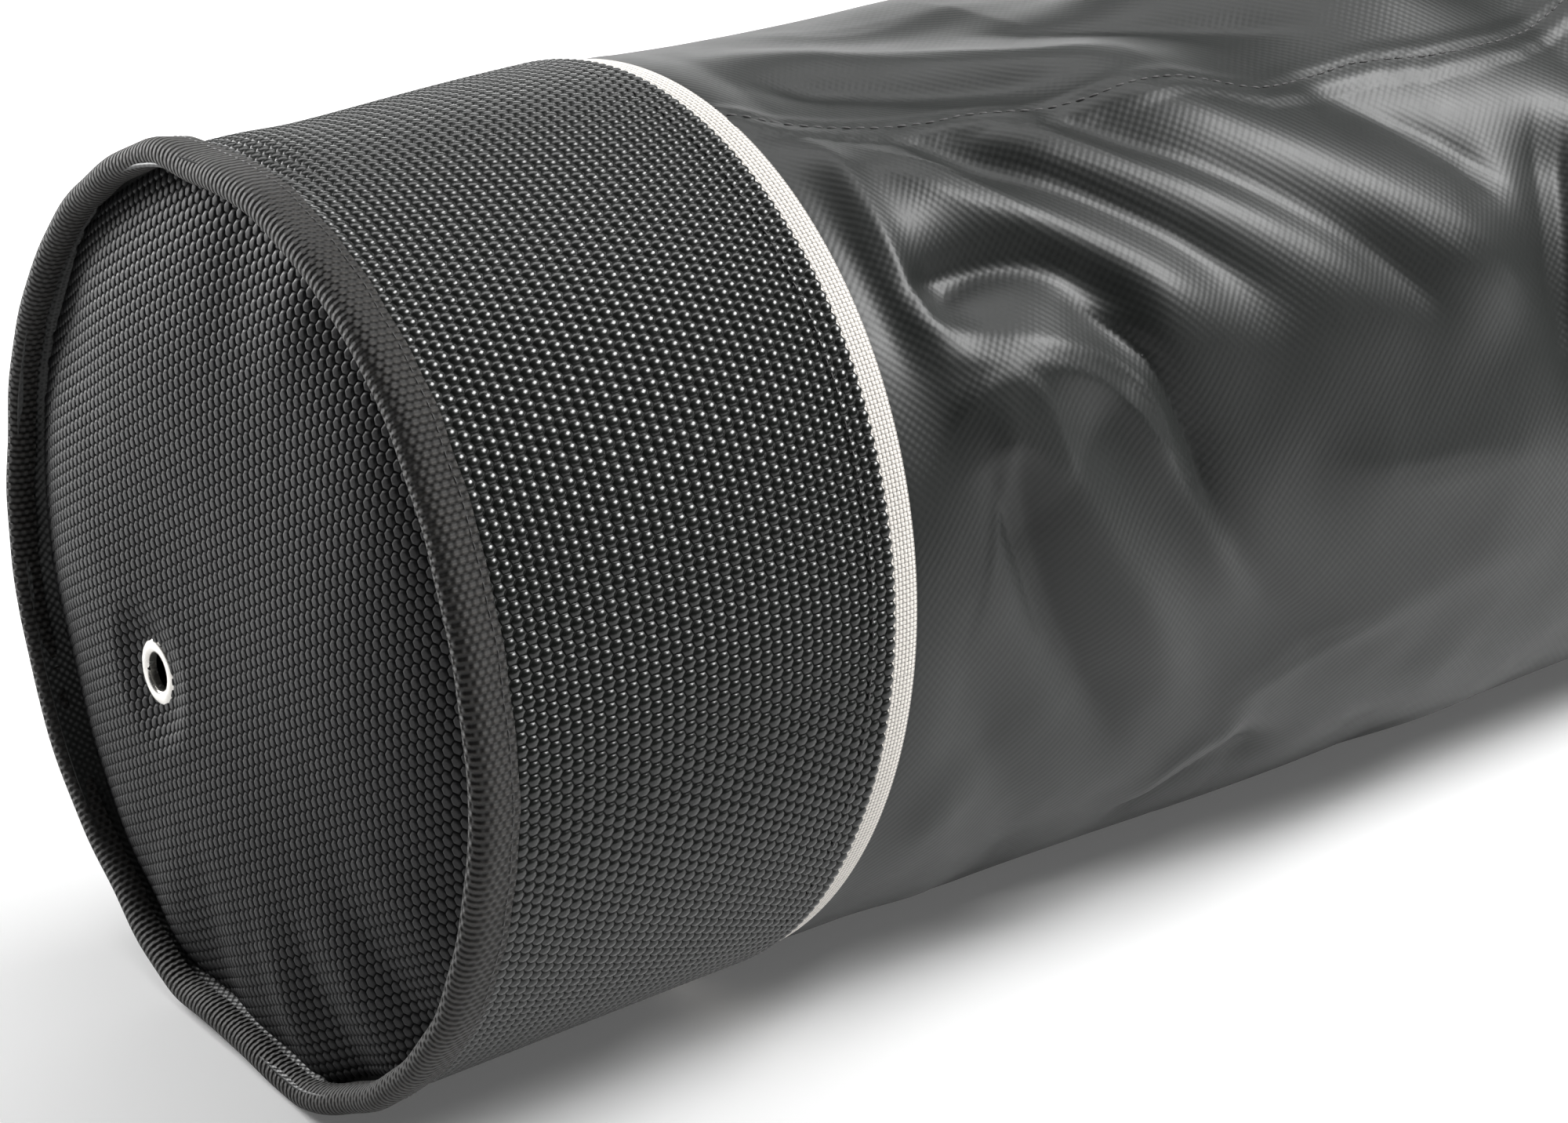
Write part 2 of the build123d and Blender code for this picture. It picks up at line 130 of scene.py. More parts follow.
def pressed(deg, r, flat=LIE_FLAT):
    """Radius r, pressed flat where the bag lies on the ground, with a soft edge to the flat."""
    limit = (r - flat) / np.maximum(-np.sin(np.radians(deg)), 1e-3)
    gap = np.abs(r - limit)
    soft = 0.6
    return np.minimum(r, limit) - soft * np.log1p(np.exp(-gap / soft)) * np.exp(-gap / 4)


def in_space(x, y, z):
    """Points in metres, at x from the base rim and at y and z from the bag's axis."""
    x, y, z = np.broadcast_arrays(x, y, z)
    return np.stack([RIM_X + x, AXIS_Y + y, AXIS_Z + z], -1) / 1000


def directions(deg):
    """Directions outward and round the bag at deg."""
    a = np.radians(deg)
    return np.stack([0 * a, -np.cos(a), np.sin(a)], -1), np.stack([0 * a, np.sin(a), np.cos(a)], -1)


def rounded(distance, half, corner):
    """Share of a corner's radius that is left at a distance from the middle of a side half as long."""
    return np.sqrt(1 - np.clip((distance - half + corner) / corner, 0, 1) ** 2)


def all_round(step):
    """Angles once round the bag, without the last one."""
    return np.arange(0, 360, step)


def hump_at(deg, middle, width):
    return hump(turn(deg, middle), 0, width)


def lean(x, y, z):
    """The foot of the bag leans: its top stands back along X, its underside and its -Y side forward."""
    rim = 1 - ease(x, 0, 118)
    back = sizes().foot_lean * z * (1.1 - 0.7 * rim)
    return (back + rim * (sizes().foot_turn * y - 7)) * (1 - ease(x, 140, 216))


def spot(x, deg, r, flat=LIE_FLAT):
    """Points in metres at x, deg and r, with the underside pressed flat."""
    x, deg, r = np.broadcast_arrays(x, deg, r)
    r = pressed(deg, r, flat)
    a = np.radians(deg)
    y, z = -r * np.cos(a), r * np.sin(a)
    return in_space(x + lean(x, y, z), y, z)


# ---------------------------------------------------------------- how the cloth lies
# Each fold: height (a valley where negative), roundness of its crest, flank width on its left and
# right, and the points (x, deg) that it runs through.
FOLDS = (
    (8.0, 3.0, 12, 18, ((168, 76), (166, 66), (162, 56), (160, 47), (165, 38), (180, 30))),
    (-4.5, 3.0, 8, 8, ((150, 66), (151, 54), (151, 42), (155, 30))),
    (8.5, 5.0, 11, 20, ((166, 68), (186, 60), (206, 52), (232, 42), (260, 31), (290, 19))),
    (-11.0, 4.0, 9, 9, ((158, 41), (172, 43), (191, 45), (213, 43), (232, 36), (246, 28))),
    (10.0, 4.0, 11, 9, ((152, 39), (176, 35), (202, 31), (226, 26), (238, 16), (254, 2), (280, -10), (312, -19))),
    (-10.0, 4.0, 7, 20, ((204, 38), (217, 33), (232, 28), (242, 19), (252, 8), (277, -8), (314, -19), (355, -22))),
    (6.5, 4.0, 9, 12, ((156, 22), (168, 25), (180, 28), (190, 23), (203, 13), (222, 0), (243, -15), (262, -32))),
    (-7.0, 3.0, 9, 11, ((172, 28), (181, 14), (192, -1), (214, -15), (240, -34))),
    (-6.0, 3.0, 8, 9, ((184, 68), (212, 59), (242, 49), (272, 37), (306, 24))),
    (9.0, 7.0, 12, 18, ((196, 74), (226, 62), (254, 52), (288, 40), (322, 28), (352, 16))),
    (-5.5, 3.0, 9, 9, ((232, 68), (262, 56), (298, 44), (336, 31), (368, 18))),
    (10.0, 8.0, 15, 17, ((246, 72), (280, 60), (314, 48), (348, 37), (376, 27), (398, 16))),
    (-5.0, 3.0, 9, 10, ((330, 62), (362, 51), (386, 42), (404, 32))),
    (-6.5, 5.0, 7, 16, ((436, 48), (424, 38), (414, 27), (410, 14), (416, -6))),
    (5.0, 8.0, 18, 20, ((460, 62), (450, 44), (440, 28), (436, 8), (446, -20))),
    (6.0, 8.0, 16, 22, ((152, 99), (196, 91), (233, 85), (261, 77), (292, 70), (330, 64))),
    (-5.0, 3.0, 9, 12, ((160, 86), (200, 80), (240, 73), (286, 66))),
    (7.0, 8.0, 18, 18, ((300, 98), (336, 88), (372, 79), (410, 70), (455, 64))),
    (-4.5, 3.0, 8, 12, ((262, 92), (300, 82), (340, 73), (384, 64))),
    (4.0, 5.0, 12, 12, ((286, 10), (330, 4), (372, 2), (420, -6))),
    (4.0, 6.0, 18, 14, ((256, -26), (292, -20), (330, -16), (380, -12), (430, -18))),
    (-6.0, 4.0, 9, 10, ((246, -52), (260, -43), (280, -38), (300, -39), (322, -48))),
    (4.0, 4.0, 9, 9, ((240, -44), (256, -36), (272, -31), (298, -30))),
    (-4.5, 6.0, 16, 16, ((150, 6), (168, -12), (186, -28), (206, -44), (214, -60))),
    (3.0, 7.0, 16, 16, ((146, -16), (160, -28), (176, -44), (184, -60))),
    (-5.0, 7.0, 18, 18, ((462, 84), (456, 60), (460, 36), (474, 12), (482, -10))),
    (5.0, 8.0, 20, 20, ((484, 78), (486, 50), (496, 24), (507, 0), (512, -26))),
    (-4.0, 6.0, 16, 18, ((520, 70), (522, 46), (530, 20), (536, -10))),
    (4.0, 6.0, 16, 16, ((345, -24), (372, -34), (404, -42), (436, -50))),
    (-3.5, 6.0, 14, 14, ((330, -34), (362, -46), (396, -54))),
    (3.5, 7.0, 16, 16, ((200, 118), (236, 106), (276, 104), (330, 100))),
    (-3.5, 7.0, 16, 16, ((350, 112), (392, 102), (430, 92), (470, 88))),
    (-3.0, 8.0, 18, 18, ((150, 250), (190, 242), (240, 236), (300, 240))),
    (3.0, 8.0, 18, 18, ((280, 254), (330, 246), (390, 240), (440, 244))),
)
SAG = ((16.0, 255, 62, 100, 30), (7.0, 410, 90, 84, 34), (5.0, 200, 60, 66, 22), (5.0, 500, 50, 70, 40))


def fold(x, deg, height, crest, left, right, points):
    """Radial rise of one fold over the points x, deg. It fades out at both its ends."""
    path = smooth_line(points, 6)
    blur = 110.0
    steps = len(path) - 1
    v = turn(deg[..., None], path[:, 1]) * MM_PER_DEG
    u = x[..., None] - path[:, 0]
    far = u * u + v * v
    nearest = far.min(-1)
    weight = np.exp(-(far - nearest[..., None]) / blur)
    total = weight.sum(-1)
    runs = np.gradient(np.stack([path[:, 0], path[:, 1] * MM_PER_DEG]), axis=1)
    spacing = np.hypot(*runs)
    full = (math.pi * blur) ** 0.5 / spacing.mean()
    near = np.sqrt(np.maximum(nearest - blur * np.log(total / full), 0))
    along = (weight * np.arange(steps + 1)).sum(-1) / total / steps
    side = (weight * (runs[0] * v - runs[1] * u) / spacing).sum(-1) / total
    flank = (left + right) / 2 + (left - right) / 2 * np.tanh(side / 5)
    fade = ease(along, 0.02, 0.3) * (1 - ease(along, 0.7, 0.98))
    return height * fade * np.exp(-(np.hypot(near, crest) - crest) / flank)


def unevenness(x, deg, fine=1.0):
    """Slight lie of any soft wall, between -1 and 1."""
    a = np.radians(deg)
    return (
        np.sin(3 * a + x / 61 + 0.4) * 0.4
        + np.sin(5 * a - x / 37 + 1.9) * 0.3
        + np.sin(9 * a + x / 23 * fine + 4.1) * 0.2
        + np.sin(14 * a - x / 17 * fine + 2.6) * 0.1
    )


def slack(x, deg):
    """How far the tarpaulin stands outside its cut radius: it sags on top and lies in folds."""
    x, deg = np.broadcast_arrays(np.asarray(x, float), np.asarray(deg, float))
    free = ease(x, 135, 160) * (1 - ease(x, 528, 556))
    x = x + lean(x, 0, TUBE_R * np.sin(np.radians(deg)))
    off_back = np.abs(turn(deg, 180))
    loose = ease(off_back, 52, 84)
    on_ground = ease(np.abs(turn(deg, 270)), 8, 40)
    drop = sum(d * hump(x, mx, wx) * hump_at(deg, md, wd) for d, mx, wx, md, wd in SAG)
    drop = np.where(x > 255, np.maximum(drop, 13 * hump_at(deg, 100, 32)), drop)
    lies = sum(fold(x, deg, *f) for f in FOLDS)
    drop = drop - (3.0 * ease(x, 150, 210) + 7.0 * ease(x, 220, 420)) * hump_at(deg, 310, 26)
    total = -drop * loose + lies * loose * on_ground + 0.9 * unevenness(x, deg) * (0.35 + 0.65 * loose)
    total = np.where(total > 0, 11 * np.tanh(total / 11), 24 * np.tanh(total / 24))
    return total * free


def band_slack(x, deg):
    """The studded band is stiffer: it only dents a little, most of all behind the rim on top."""
    pucker = -2.6 * hump(x, 17, 9) * hump_at(deg, 92, 9) + 1.2 * hump(x, 30, 14) * hump_at(deg, 104, 9)
    top = -2.2 * hump_at(deg, 95, 42) * hump(x, 40, 45)
    held = ease(x, 0, 22)
    return (0.7 * unevenness(x, deg, 0.6) - 0.5) * held + pucker + top * held


def tape_slack(x, deg):
    """The trim lies on the tube's first folds."""
    return band_slack(x, deg) * (1 - ease(x, 124, 138)) + slack(x, deg)


# ---------------------------------------------------------------- mesh helpers
def new_piece(name, points, faces, loops_uv=None, sharp=40):
    """Mesh object from points in metres. loops_uv holds metric cloth coordinates of each corner."""
    mesh = bpy.data.meshes.new(name)
    mesh.from_pydata([tuple(p) for p in np.asarray(points, float)], [], faces)
    if loops_uv is not None:
        layer = mesh.uv_layers.new(name="cloth")
        layer.uv.foreach_set("vector", np.asarray(loops_uv, np.float32).ravel())
    mesh.validate()
    mesh.update()
    mesh.shade_smooth()
    if sharp:
        mesh.set_sharp_from_angle(angle=math.radians(sharp))
    piece = bpy.data.objects.new(name, mesh)
    bpy.context.scene.collection.objects.link(piece)
    return piece


def quads(rows, columns, start=0, wrap=False, flip=False):
    """Vertex numbers of a grid's faces, and the grid places of their corners."""
    faces, places = [], []
    for i in range(rows - 1):
        for j in range(columns if wrap else columns - 1):
            ring = [(i, j), (i, j + 1), (i + 1, j + 1), (i + 1, j)]
            if flip:
                ring.reverse()
            faces.append([start + a * columns + b % columns for a, b in ring])
            places.extend(ring)
    return faces, places


def unit(vectors):
    return vectors / np.linalg.norm(vectors, axis=1)[:, None]


def run_length(line):
    """Distance along a line at each of its points."""
    return np.append(0, np.cumsum(np.linalg.norm(np.diff(line, axis=0), axis=1)))


def corner_points(mesh):
    """The mesh's points, and the number of the point at each corner of its faces."""
    co = np.zeros(len(mesh.vertices) * 3)
    mesh.vertices.foreach_get("co", co)
    corner = np.zeros(len(mesh.loops), np.int32)
    mesh.loops.foreach_get("vertex_index", corner)
    return co.reshape(-1, 3), corner


def slab(name, over, under, size_u, size_v, wrap=False, sharp=40):
    """Closed piece of cloth between two grids of points. size_u and size_v are the cloth's metric
    coordinates along its rows and columns, one more than the columns where it wraps round."""
    rows, columns = over.shape[:2]
    count = rows * columns
    faces, places = quads(rows, columns, 0, wrap)
    more, more_places = quads(rows, columns, count, wrap, True)
    faces += more
    places += more_places
    last = columns if wrap else columns - 1
    rims = [([(i, j) for j in range(last + 1)], i == 0) for i in (0, rows - 1)]
    if not wrap:
        rims += [([(i, j) for i in range(rows)], j > 0) for j in (0, columns - 1)]
    for rim, turned in rims:
        for a, b in zip(rim, rim[1:]):
            ring = [(0, a), (0, b), (count, b), (count, a)]
            if turned:
                ring.reverse()
            faces.append([side + i * columns + j % columns for side, (i, j) in ring])
            places.extend(place for _, place in ring)
    place = np.array(places)
    uv = np.stack([np.asarray(size_v)[place[:, 1]], np.asarray(size_u)[place[:, 0]]], 1) / 1000
    points = np.concatenate([over.reshape(-1, 3), under.reshape(-1, 3)])
    return face_outward(new_piece(name, points, faces, uv, sharp=sharp))


def face_outward(piece):
    """Turns a closed piece's faces outward if they point in."""
    mesh = piece.data
    mesh.calc_loop_triangles()
    co, _ = corner_points(mesh)
    tri = np.zeros(len(mesh.loop_triangles) * 3, int)
    mesh.loop_triangles.foreach_get("vertices", tri)
    a, b, c = (co[tri[k::3]] for k in range(3))
    if (a * np.cross(b, c)).sum() < 0:
        mesh.flip_normals()
    return piece


def round_sleeve(name, xs, outer, wall, step=1.5, flat=LIE_FLAT, shape=band_slack):
    """Sleeve round the bag. outer and wall are radii in millimetres for each x, and shape adds to them."""
    degs = all_round(step)
    x, deg = np.meshgrid(xs, degs, indexing="ij")
    r = np.broadcast_to(np.asarray(outer, float).reshape(-1, 1), x.shape) + shape(x, deg)
    over, under = spot(x, deg, r, flat), spot(x, deg, r - wall, flat)
    return slab(name, over, under, xs, np.append(degs, 360) * MM_PER_DEG, wrap=True)


def ring_tape(name, profile, thickness, shape, step, flat=LIE_FLAT):
    """Tape folded round an edge of the bag: profile lists (x, r) across the tape, outside first."""
    degs = all_round(step)
    line = smooth_line(profile, 3)
    ahead = np.gradient(line, axis=0)
    out = np.stack([ahead[:, 1], -ahead[:, 0]], 1) / np.linalg.norm(ahead, axis=1)[:, None]
    width = run_length(line)
    grids = []
    for depth in (0, thickness):
        x, deg = np.meshgrid(line[:, 0] - depth * out[:, 0], degs, indexing="ij")
        r = np.broadcast_to((line[:, 1] - depth * out[:, 1])[:, None], x.shape)
        dx, dr = shape(x, deg, np.broadcast_to((width / width[-1])[:, None], x.shape))
        grids.append(spot(x + dx, deg, r + dr, flat))
    return slab(name, *grids, width, np.append(degs, 360) * MM_PER_DEG, wrap=True, sharp=60)


def patch(name, x0, x1, inner, outer, middle, span, corner=3.0, grain=1.6):
    """Curved patch sewn on the bag, its edges rolled down. corner rounds its outline."""
    half_x, half_s = (x1 - x0) / 2, span * MM_PER_DEG / 2
    rows, columns = max(8, int(2 * half_x / grain)), max(8, int(2 * half_s / grain))
    u, v = np.meshgrid(np.linspace(-1, 1, rows), np.linspace(-1, 1, columns), indexing="ij")
    cut = 1 - corner / half_x * (1 - rounded(np.abs(v) * half_s, half_s, corner))
    x = (x0 + x1) / 2 + u * half_x * cut
    deg = middle + v * half_s / MM_PER_DEG
    edge = np.minimum((1 - np.abs(u)) * half_x, (1 - np.abs(v)) * half_s)
    roll = (outer - inner) * 0.55 * (1 - ease(edge, 0, min(1.6, half_x, half_s)))
    over, under = spot(x, deg, outer - roll), spot(x, deg, inner)
    return slab(name, over, under, np.linspace(x0, x1, rows), np.linspace(0, 2 * half_s, columns), sharp=70)


def ribbon(name, path, wide, across, thickness, parts=5, crown=0.25, columns=9):
    """Webbing along path, points in metres, with its width along the direction across. The side that
    `across` x direction points to is its face, and its edges are a little thinner."""
    line = smooth_line(path, parts)
    ahead = unit(np.gradient(line, axis=0))
    across = unit(np.broadcast_to(np.asarray(across, float), line.shape))
    up = unit(np.cross(across, ahead))
    v = np.sin(np.linspace(-math.pi / 2, math.pi / 2, columns))
    half = thickness / 2 * (1 - crown * np.abs(v) ** 6 * 2) / 1000
    place = line[:, None] + across[:, None] * (v * wide / 2000)[None, :, None]
    rise = up[:, None] * half[None, :, None]
    return slab(name, place + rise, place - rise, run_length(line) * 1000, (v + 1) * wide / 2, sharp=55)


def lathe(name, profile, centre, parts=64):
    """Turned part about an axis along X. profile is a closed loop of (x, r) in millimetres."""
    loop = np.asarray(profile, float)
    x, turned = np.meshgrid(loop[:, 0], np.linspace(0, 2 * math.pi, parts, endpoint=False), indexing="ij")
    r = np.broadcast_to(loop[:, 1:2], x.shape)
    points = np.stack([x, r * np.cos(turned), r * np.sin(turned)], -1) / 1000 + np.asarray(centre)
    faces, _ = quads(len(loop) + 1, parts, 0, True)
    faces = [[p % x.size for p in face] for face in faces]
    return face_outward(new_piece(name, points.reshape(-1, 3), faces, sharp=50))


def stitches(name, line, normal, body, pitch=5.0, long=3.9, thick=0.5, slot="webbing"):
    """One run of thread along line, points in metres, standing on the cloth along normal."""
    line, normal = np.asarray(line, float), np.asarray(normal, float)
    lengths = run_length(line) * 1000
    count = max(1, int(round(lengths[-1] / pitch)))
    at = (np.arange(count) + 0.5) * lengths[-1] / count
    wander = 0.12 * np.sin(at * 1.7 + 0.6)

    def sample(values, where):
        return np.stack([np.interp(where, lengths, values[:, k]) for k in range(3)], 1)

    middle, up = sample(line, at), unit(sample(normal, at))
    ahead = unit(sample(line, np.clip(at + 0.5, 0, lengths[-1])) - sample(line, np.clip(at - 0.5, 0, lengths[-1])))
    out = np.cross(ahead, up)
    t, girth, rise = np.array(
        [(-1, 0.35, -0.75), (-0.8, 0.8, -0.1), (-0.35, 1, 0.3), (0.35, 1, 0.3), (0.8, 0.8, -0.1), (1, 0.35, -0.75)]
    ).T
    sides = 6
    ring = np.radians(all_round(360 / sides))
    sink = 0.15
    high = (girth[:, None] * np.sin(ring) + rise[:, None]) * thick / 2 - sink
    wide = girth[:, None] * np.cos(ring) * thick / 2 + wander[:, None, None]
    points = middle[:, None, None] + (
        ahead[:, None, None] * (t * long / 2)[None, :, None, None]
        + up[:, None, None] * high[None, :, :, None]
        + out[:, None, None] * wide[..., None]
    ) / 1000
    faces, each = [], len(t) * sides
    for base in range(0, count * each, each):
        faces += quads(len(t), sides, base, True)[0]
        faces.append([base + j for j in reversed(range(sides))])
        faces.append([base + each - sides + j for j in range(sides)])
    piece = face_outward(new_piece(name, points.reshape(-1, 3), faces, sharp=0))
    return hand_over(piece, thread(), slot, body)


def surface_line(xs, degs, rs, flat=LIE_FLAT):
    """Line on the bag and its outward directions, for stitches."""
    line = spot(xs, degs, rs, flat)
    return line, directions(np.broadcast_to(degs, line.shape[:1]))[0]


def studs(name, cells, lay, height, wide, steps, place=lambda flat: flat):
    """Raised studs on a fabric: one hexagonal cell each, sharing their edges. cells holds the cells'
    middles on the flat cloth, lay puts flat points and heights into space, steps lists the (share of
    the width, share of the height) of each ring of a stud, and points at one place are merged."""
    ring = np.radians(np.arange(30, 390, 60))
    hexagon = np.stack([np.cos(ring), np.sin(ring)], 1) * wide / math.sqrt(3)
    template = np.concatenate([hexagon * share for share, _ in steps] + [np.zeros((1, 2))])
    flat = (cells[:, None] + template[None]).reshape(-1, 2)
    rise = np.tile(np.append(np.repeat([rise for _, rise in steps], 6), 1.0), len(cells))
    key = np.round(np.column_stack([place(flat), rise]) * 50).astype(np.int64)
    _, first, number = np.unique(key, axis=0, return_index=True, return_inverse=True)
    levels, _ = quads(len(steps), 6, 0, True)
    top = (len(steps) - 1) * 6
    stud_faces = levels + [[top + j, top + (j + 1) % 6, -1] for j in range(6)]
    faces = [[row[k] for k in face] for row in number.reshape(len(cells), -1).tolist() for face in stud_faces]
    piece = new_piece(name, lay(flat[first], rise[first] * height), faces, None, sharp=0)
    level = piece.data.attributes.new("stud", "FLOAT", "POINT")
    level.data.foreach_set("value", rise[first].astype(np.float32))
    return piece


# ---------------------------------------------------------------- finishes
class Finish:
    """A material under construction: its nodes, and short ways to link them."""

    def __init__(self, name, colour, roughness, share=1.0, **sockets):
        self.colour = tuple(c * share for c in colour)
        self.material = bpy.data.materials.new(name)
        self.material.use_nodes = True
        self.tree = self.material.node_tree
        self.shader = self.tree.nodes["Principled BSDF"]
        self.set(self.shader, "Base Color", (*self.colour, 1))
        self.set(self.shader, "Roughness", roughness)
        for socket, value in sockets.items():
            self.set(self.shader, socket.replace("_", " "), value)
        self.material.diffuse_color = (*self.colour, 1)

    def set(self, node, socket, value):
        target = node.inputs[socket]
        if isinstance(value, bpy.types.NodeSocket):
            self.tree.links.new(value, target)
        else:
            target.default_value = value

    def node(self, kind, settings=None, **sockets):
        made = self.tree.nodes.new("ShaderNode" + kind)
        for key, value in (settings or {}).items():
            setattr(made, key, value)
        for socket, value in sockets.items():
            self.set(made, socket.replace("_", " "), value)
        return made

    def maths(self, operation, *values):
        made = self.node("Math", {"operation": operation})
        for i, value in enumerate(values):
            self.set(made, i, value)
        return made.outputs[0]

    def cloth(self):
        """The cloth's metric coordinates: along the weft, along the warp."""
        split = self.node("SeparateXYZ", Vector=self.node("UVMap", {"uv_map": "cloth"}).outputs[0])
        return split.outputs[0], split.outputs[1]

    def place(self):
        """Where the point is on the resting piece, in metres."""
        return self.node("TexCoord").outputs["Object"]

    def noise(self, scale, detail=3.0, stretch=None):
        where = self.place()
        if stretch:
            where = self.node("Mapping", Vector=where, Scale=stretch).outputs[0]
        return self.node("TexNoise", Vector=where, Scale=scale, Detail=detail, Roughness=0.55).outputs[0]

    def cells(self, scale):
        return self.node("TexVoronoi", {"feature": "F1"}, Vector=self.place(), Scale=scale).outputs[0]

    def wave(self, value, pitch):
        """Sine of a metric coordinate with the given pitch in metres."""
        return self.maths("SINE", self.maths("MULTIPLY_ADD", value, 2 * math.pi / pitch, 0.0))

    def weave(self, pitch):
        """Plain weave of the cloth, from -1 to 1."""
        u, v = self.cloth()
        return self.maths("MULTIPLY", self.wave(u, pitch), self.wave(v, pitch))

    def between(self, factor, low, high):
        """A number from low to high as factor goes from 0 to 1."""
        return self.node("MapRange", Value=factor, To_Min=low, To_Max=high).outputs[0]

    def rough(self, scale, detail, low, high):
        """Roughness that wanders from low to high."""
        self.set(self.shader, "Roughness", self.between(self.noise(scale, detail), low, high))

    def tint(self, factor, dark, light, low=0.3, high=0.7):
        """Base colour from dark to light, as shares of the finish's own, as factor goes from low to high."""
        ramp = self.node("ValToRGB", Fac=factor)
        for element, position, share in zip(ramp.color_ramp.elements, (low, high), (dark, light)):
            element.position = position
            element.color = (*(c * share for c in self.colour), 1)
        self.set(self.shader, "Base Color", ramp.outputs[0])

    def bump(self, height, distance, strength=1.0):
        last = self.shader.inputs["Normal"].links
        made = self.node("Bump", Height=height, Distance=distance, Strength=strength)
        if last:
            self.tree.links.new(last[0].from_socket, made.inputs["Normal"])
        self.set(self.shader, "Normal", made.outputs[0])


FINISHES = {}


def finish_once(make):
    """Keeps one copy of each finish."""

    def get():
        if make.__name__ not in FINISHES:
            FINISHES[make.__name__] = make().material
        return FINISHES[make.__name__]

    return get


@finish_once
def tarpaulin():
    """Satin PVC over a coarse basket weave that shows through the coating."""
    f = Finish(
        "tarpaulin", looks().tarpaulin_colour, 0.42, Specular_IOR_Level=0.35, Coat_Weight=0.04, Coat_Roughness=0.3,
    )
    weave = f.weave(looks().weave_pitch / 1000)
    f.tint(f.noise(14.0), 0.82, 1.2)
    f.rough(70.0, 4.0, 0.41, 0.53)
    f.bump(f.maths("ADD", weave, f.maths("MULTIPLY", f.noise(900.0, 2.0), 0.7)), 0.00007, 0.5)
    return f


@finish_once
def tarpaulin_inside():
    """The uncoated back of the tarpaulin, where the basket weave stands out."""
    f = Finish("tarpaulin_inside", looks().tarpaulin_colour, 0.5, 0.8)
    f.tint(f.noise(20.0), 0.75, 1.25)
    f.bump(f.weave(looks().weave_pitch / 1000), 0.0002, 0.7)
    return f


def studded(name, colour, roughness, valley_shade, coat, grain, shine):
    """Rubber-coated studs: duller hollows between them, their colour darkened as painted shade, and shiny crowns with
    a fine grain.
    """
    f = Finish(name, colour, roughness, Coat_Roughness=0.14)
    level = f.node("Attribute", {"attribute_name": "stud"}).outputs[2]
    # Painted shade: the base colour darkens towards the hollows between the studs, following each point's stud height.
    f.tint(level, valley_shade, 1.0, 0.0, 0.55)
    rough = f.between(f.noise(160.0), roughness - 0.05, roughness + 0.09)
    f.set(f.shader, "Roughness", f.maths("ADD", rough, f.between(level, 0.3, 0.0)))
    crown = f.maths("MINIMUM", f.maths("MULTIPLY", level, 1.7), 1.0)
    f.set(f.shader, "Specular IOR Level", f.between(crown, 0.03, shine))
    if coat:
        f.set(f.shader, "Coat Weight", f.maths("MULTIPLY", crown, coat))
    f.bump(f.noise(2600.0, 2.0), 0.00004, grain)
    return f


@finish_once
def band_studs():
    return studded("band_studs", looks().band_colour, 0.25, 0.25, 0.28, 0.4, 0.36)


@finish_once
def base_studs():
    return studded("base_studs", looks().base_colour, 0.44, 0.2, 0.0, 0.7, 0.24)


@finish_once
def fabric_back():
    f = Finish("fabric_back", looks().band_colour, 0.8, 0.45)
    f.tint(f.noise(800.0), 0.6, 1.3)
    f.bump(f.noise(1500.0), 0.0001, 0.6)
    return f


def woven_tape(name, colour, rib, bead, roughness, depth, light, sheen=0.25):
    """Ribbed tape: ribs across it, made of short floats, with slightly fuzzy yarns. Its colour carries painted shade
    in the grooves between ribs and painted light on the rib crests, with a random yarn tone.
    """
    f = Finish(name, colour, roughness, Sheen_Weight=sheen, Sheen_Roughness=0.45)
    u, v = f.cloth()
    offset = f.maths("MULTIPLY", f.maths("FLOOR", f.maths("DIVIDE", u, rib)), math.pi)
    beads = f.maths("SINE", f.maths("ADD", f.maths("MULTIPLY", v, 2 * math.pi / bead), offset))
    height = f.maths("ADD", f.maths("MULTIPLY", f.wave(u, rib), 0.6), f.maths("MULTIPLY", beads, 0.4))
    # Painted shade and light: the colour darkens in the grooves and lightens on the rib crests, by the ribs' height;
    # the noise adds a random yarn tone.
    f.tint(f.maths("MULTIPLY_ADD", height, 0.5, f.maths("MULTIPLY", f.noise(60.0), 0.6)), 0.45, light, 0.0, 0.9)
    f.bump(height, depth, 0.9)
    f.bump(f.noise(3200.0, 2.0), 0.00008, 0.7)
    return f


@finish_once
def rim_tape():
    return woven_tape("rim_tape", looks().rim_colour, 0.0022, 0.0026, 0.7, 0.0006, 2.6, 0.05)


@finish_once
def webbing():
    return woven_tape("webbing", looks().webbing_colour, 0.0016, 0.0032, 0.6, 0.0003, 1.7)


@finish_once
def trim_ribbon():
    """Pale plain weave with a pin hole between its yarns."""
    f = Finish("trim_ribbon", looks().trim_colour, 0.62, Sheen_Weight=0.15, Sheen_Roughness=0.4)
    u, v = f.cloth()
    yarn = 0.0025
    over = f.maths("MULTIPLY", f.wave(u, yarn), f.wave(v, yarn))
    hole = f.maths("MULTIPLY", f.maths("ABSOLUTE", f.wave(u, yarn)), f.maths("ABSOLUTE", f.wave(v, yarn)))
    f.tint(hole, 0.16, 1.0, 0.02, 0.22)
    f.bump(f.maths("ADD", f.maths("MULTIPLY", over, 0.4), hole), 0.00028, 0.8)
    return f


@finish_once
def thread():
    f = Finish("thread", looks().thread_colour, 0.55, Sheen_Weight=0.2)
    f.tint(f.noise(900.0, 2.0, (1, 1, 3)), 0.6, 1.5)
    f.bump(f.noise(2500.0, 2.0), 0.0001, 0.8)
    return f


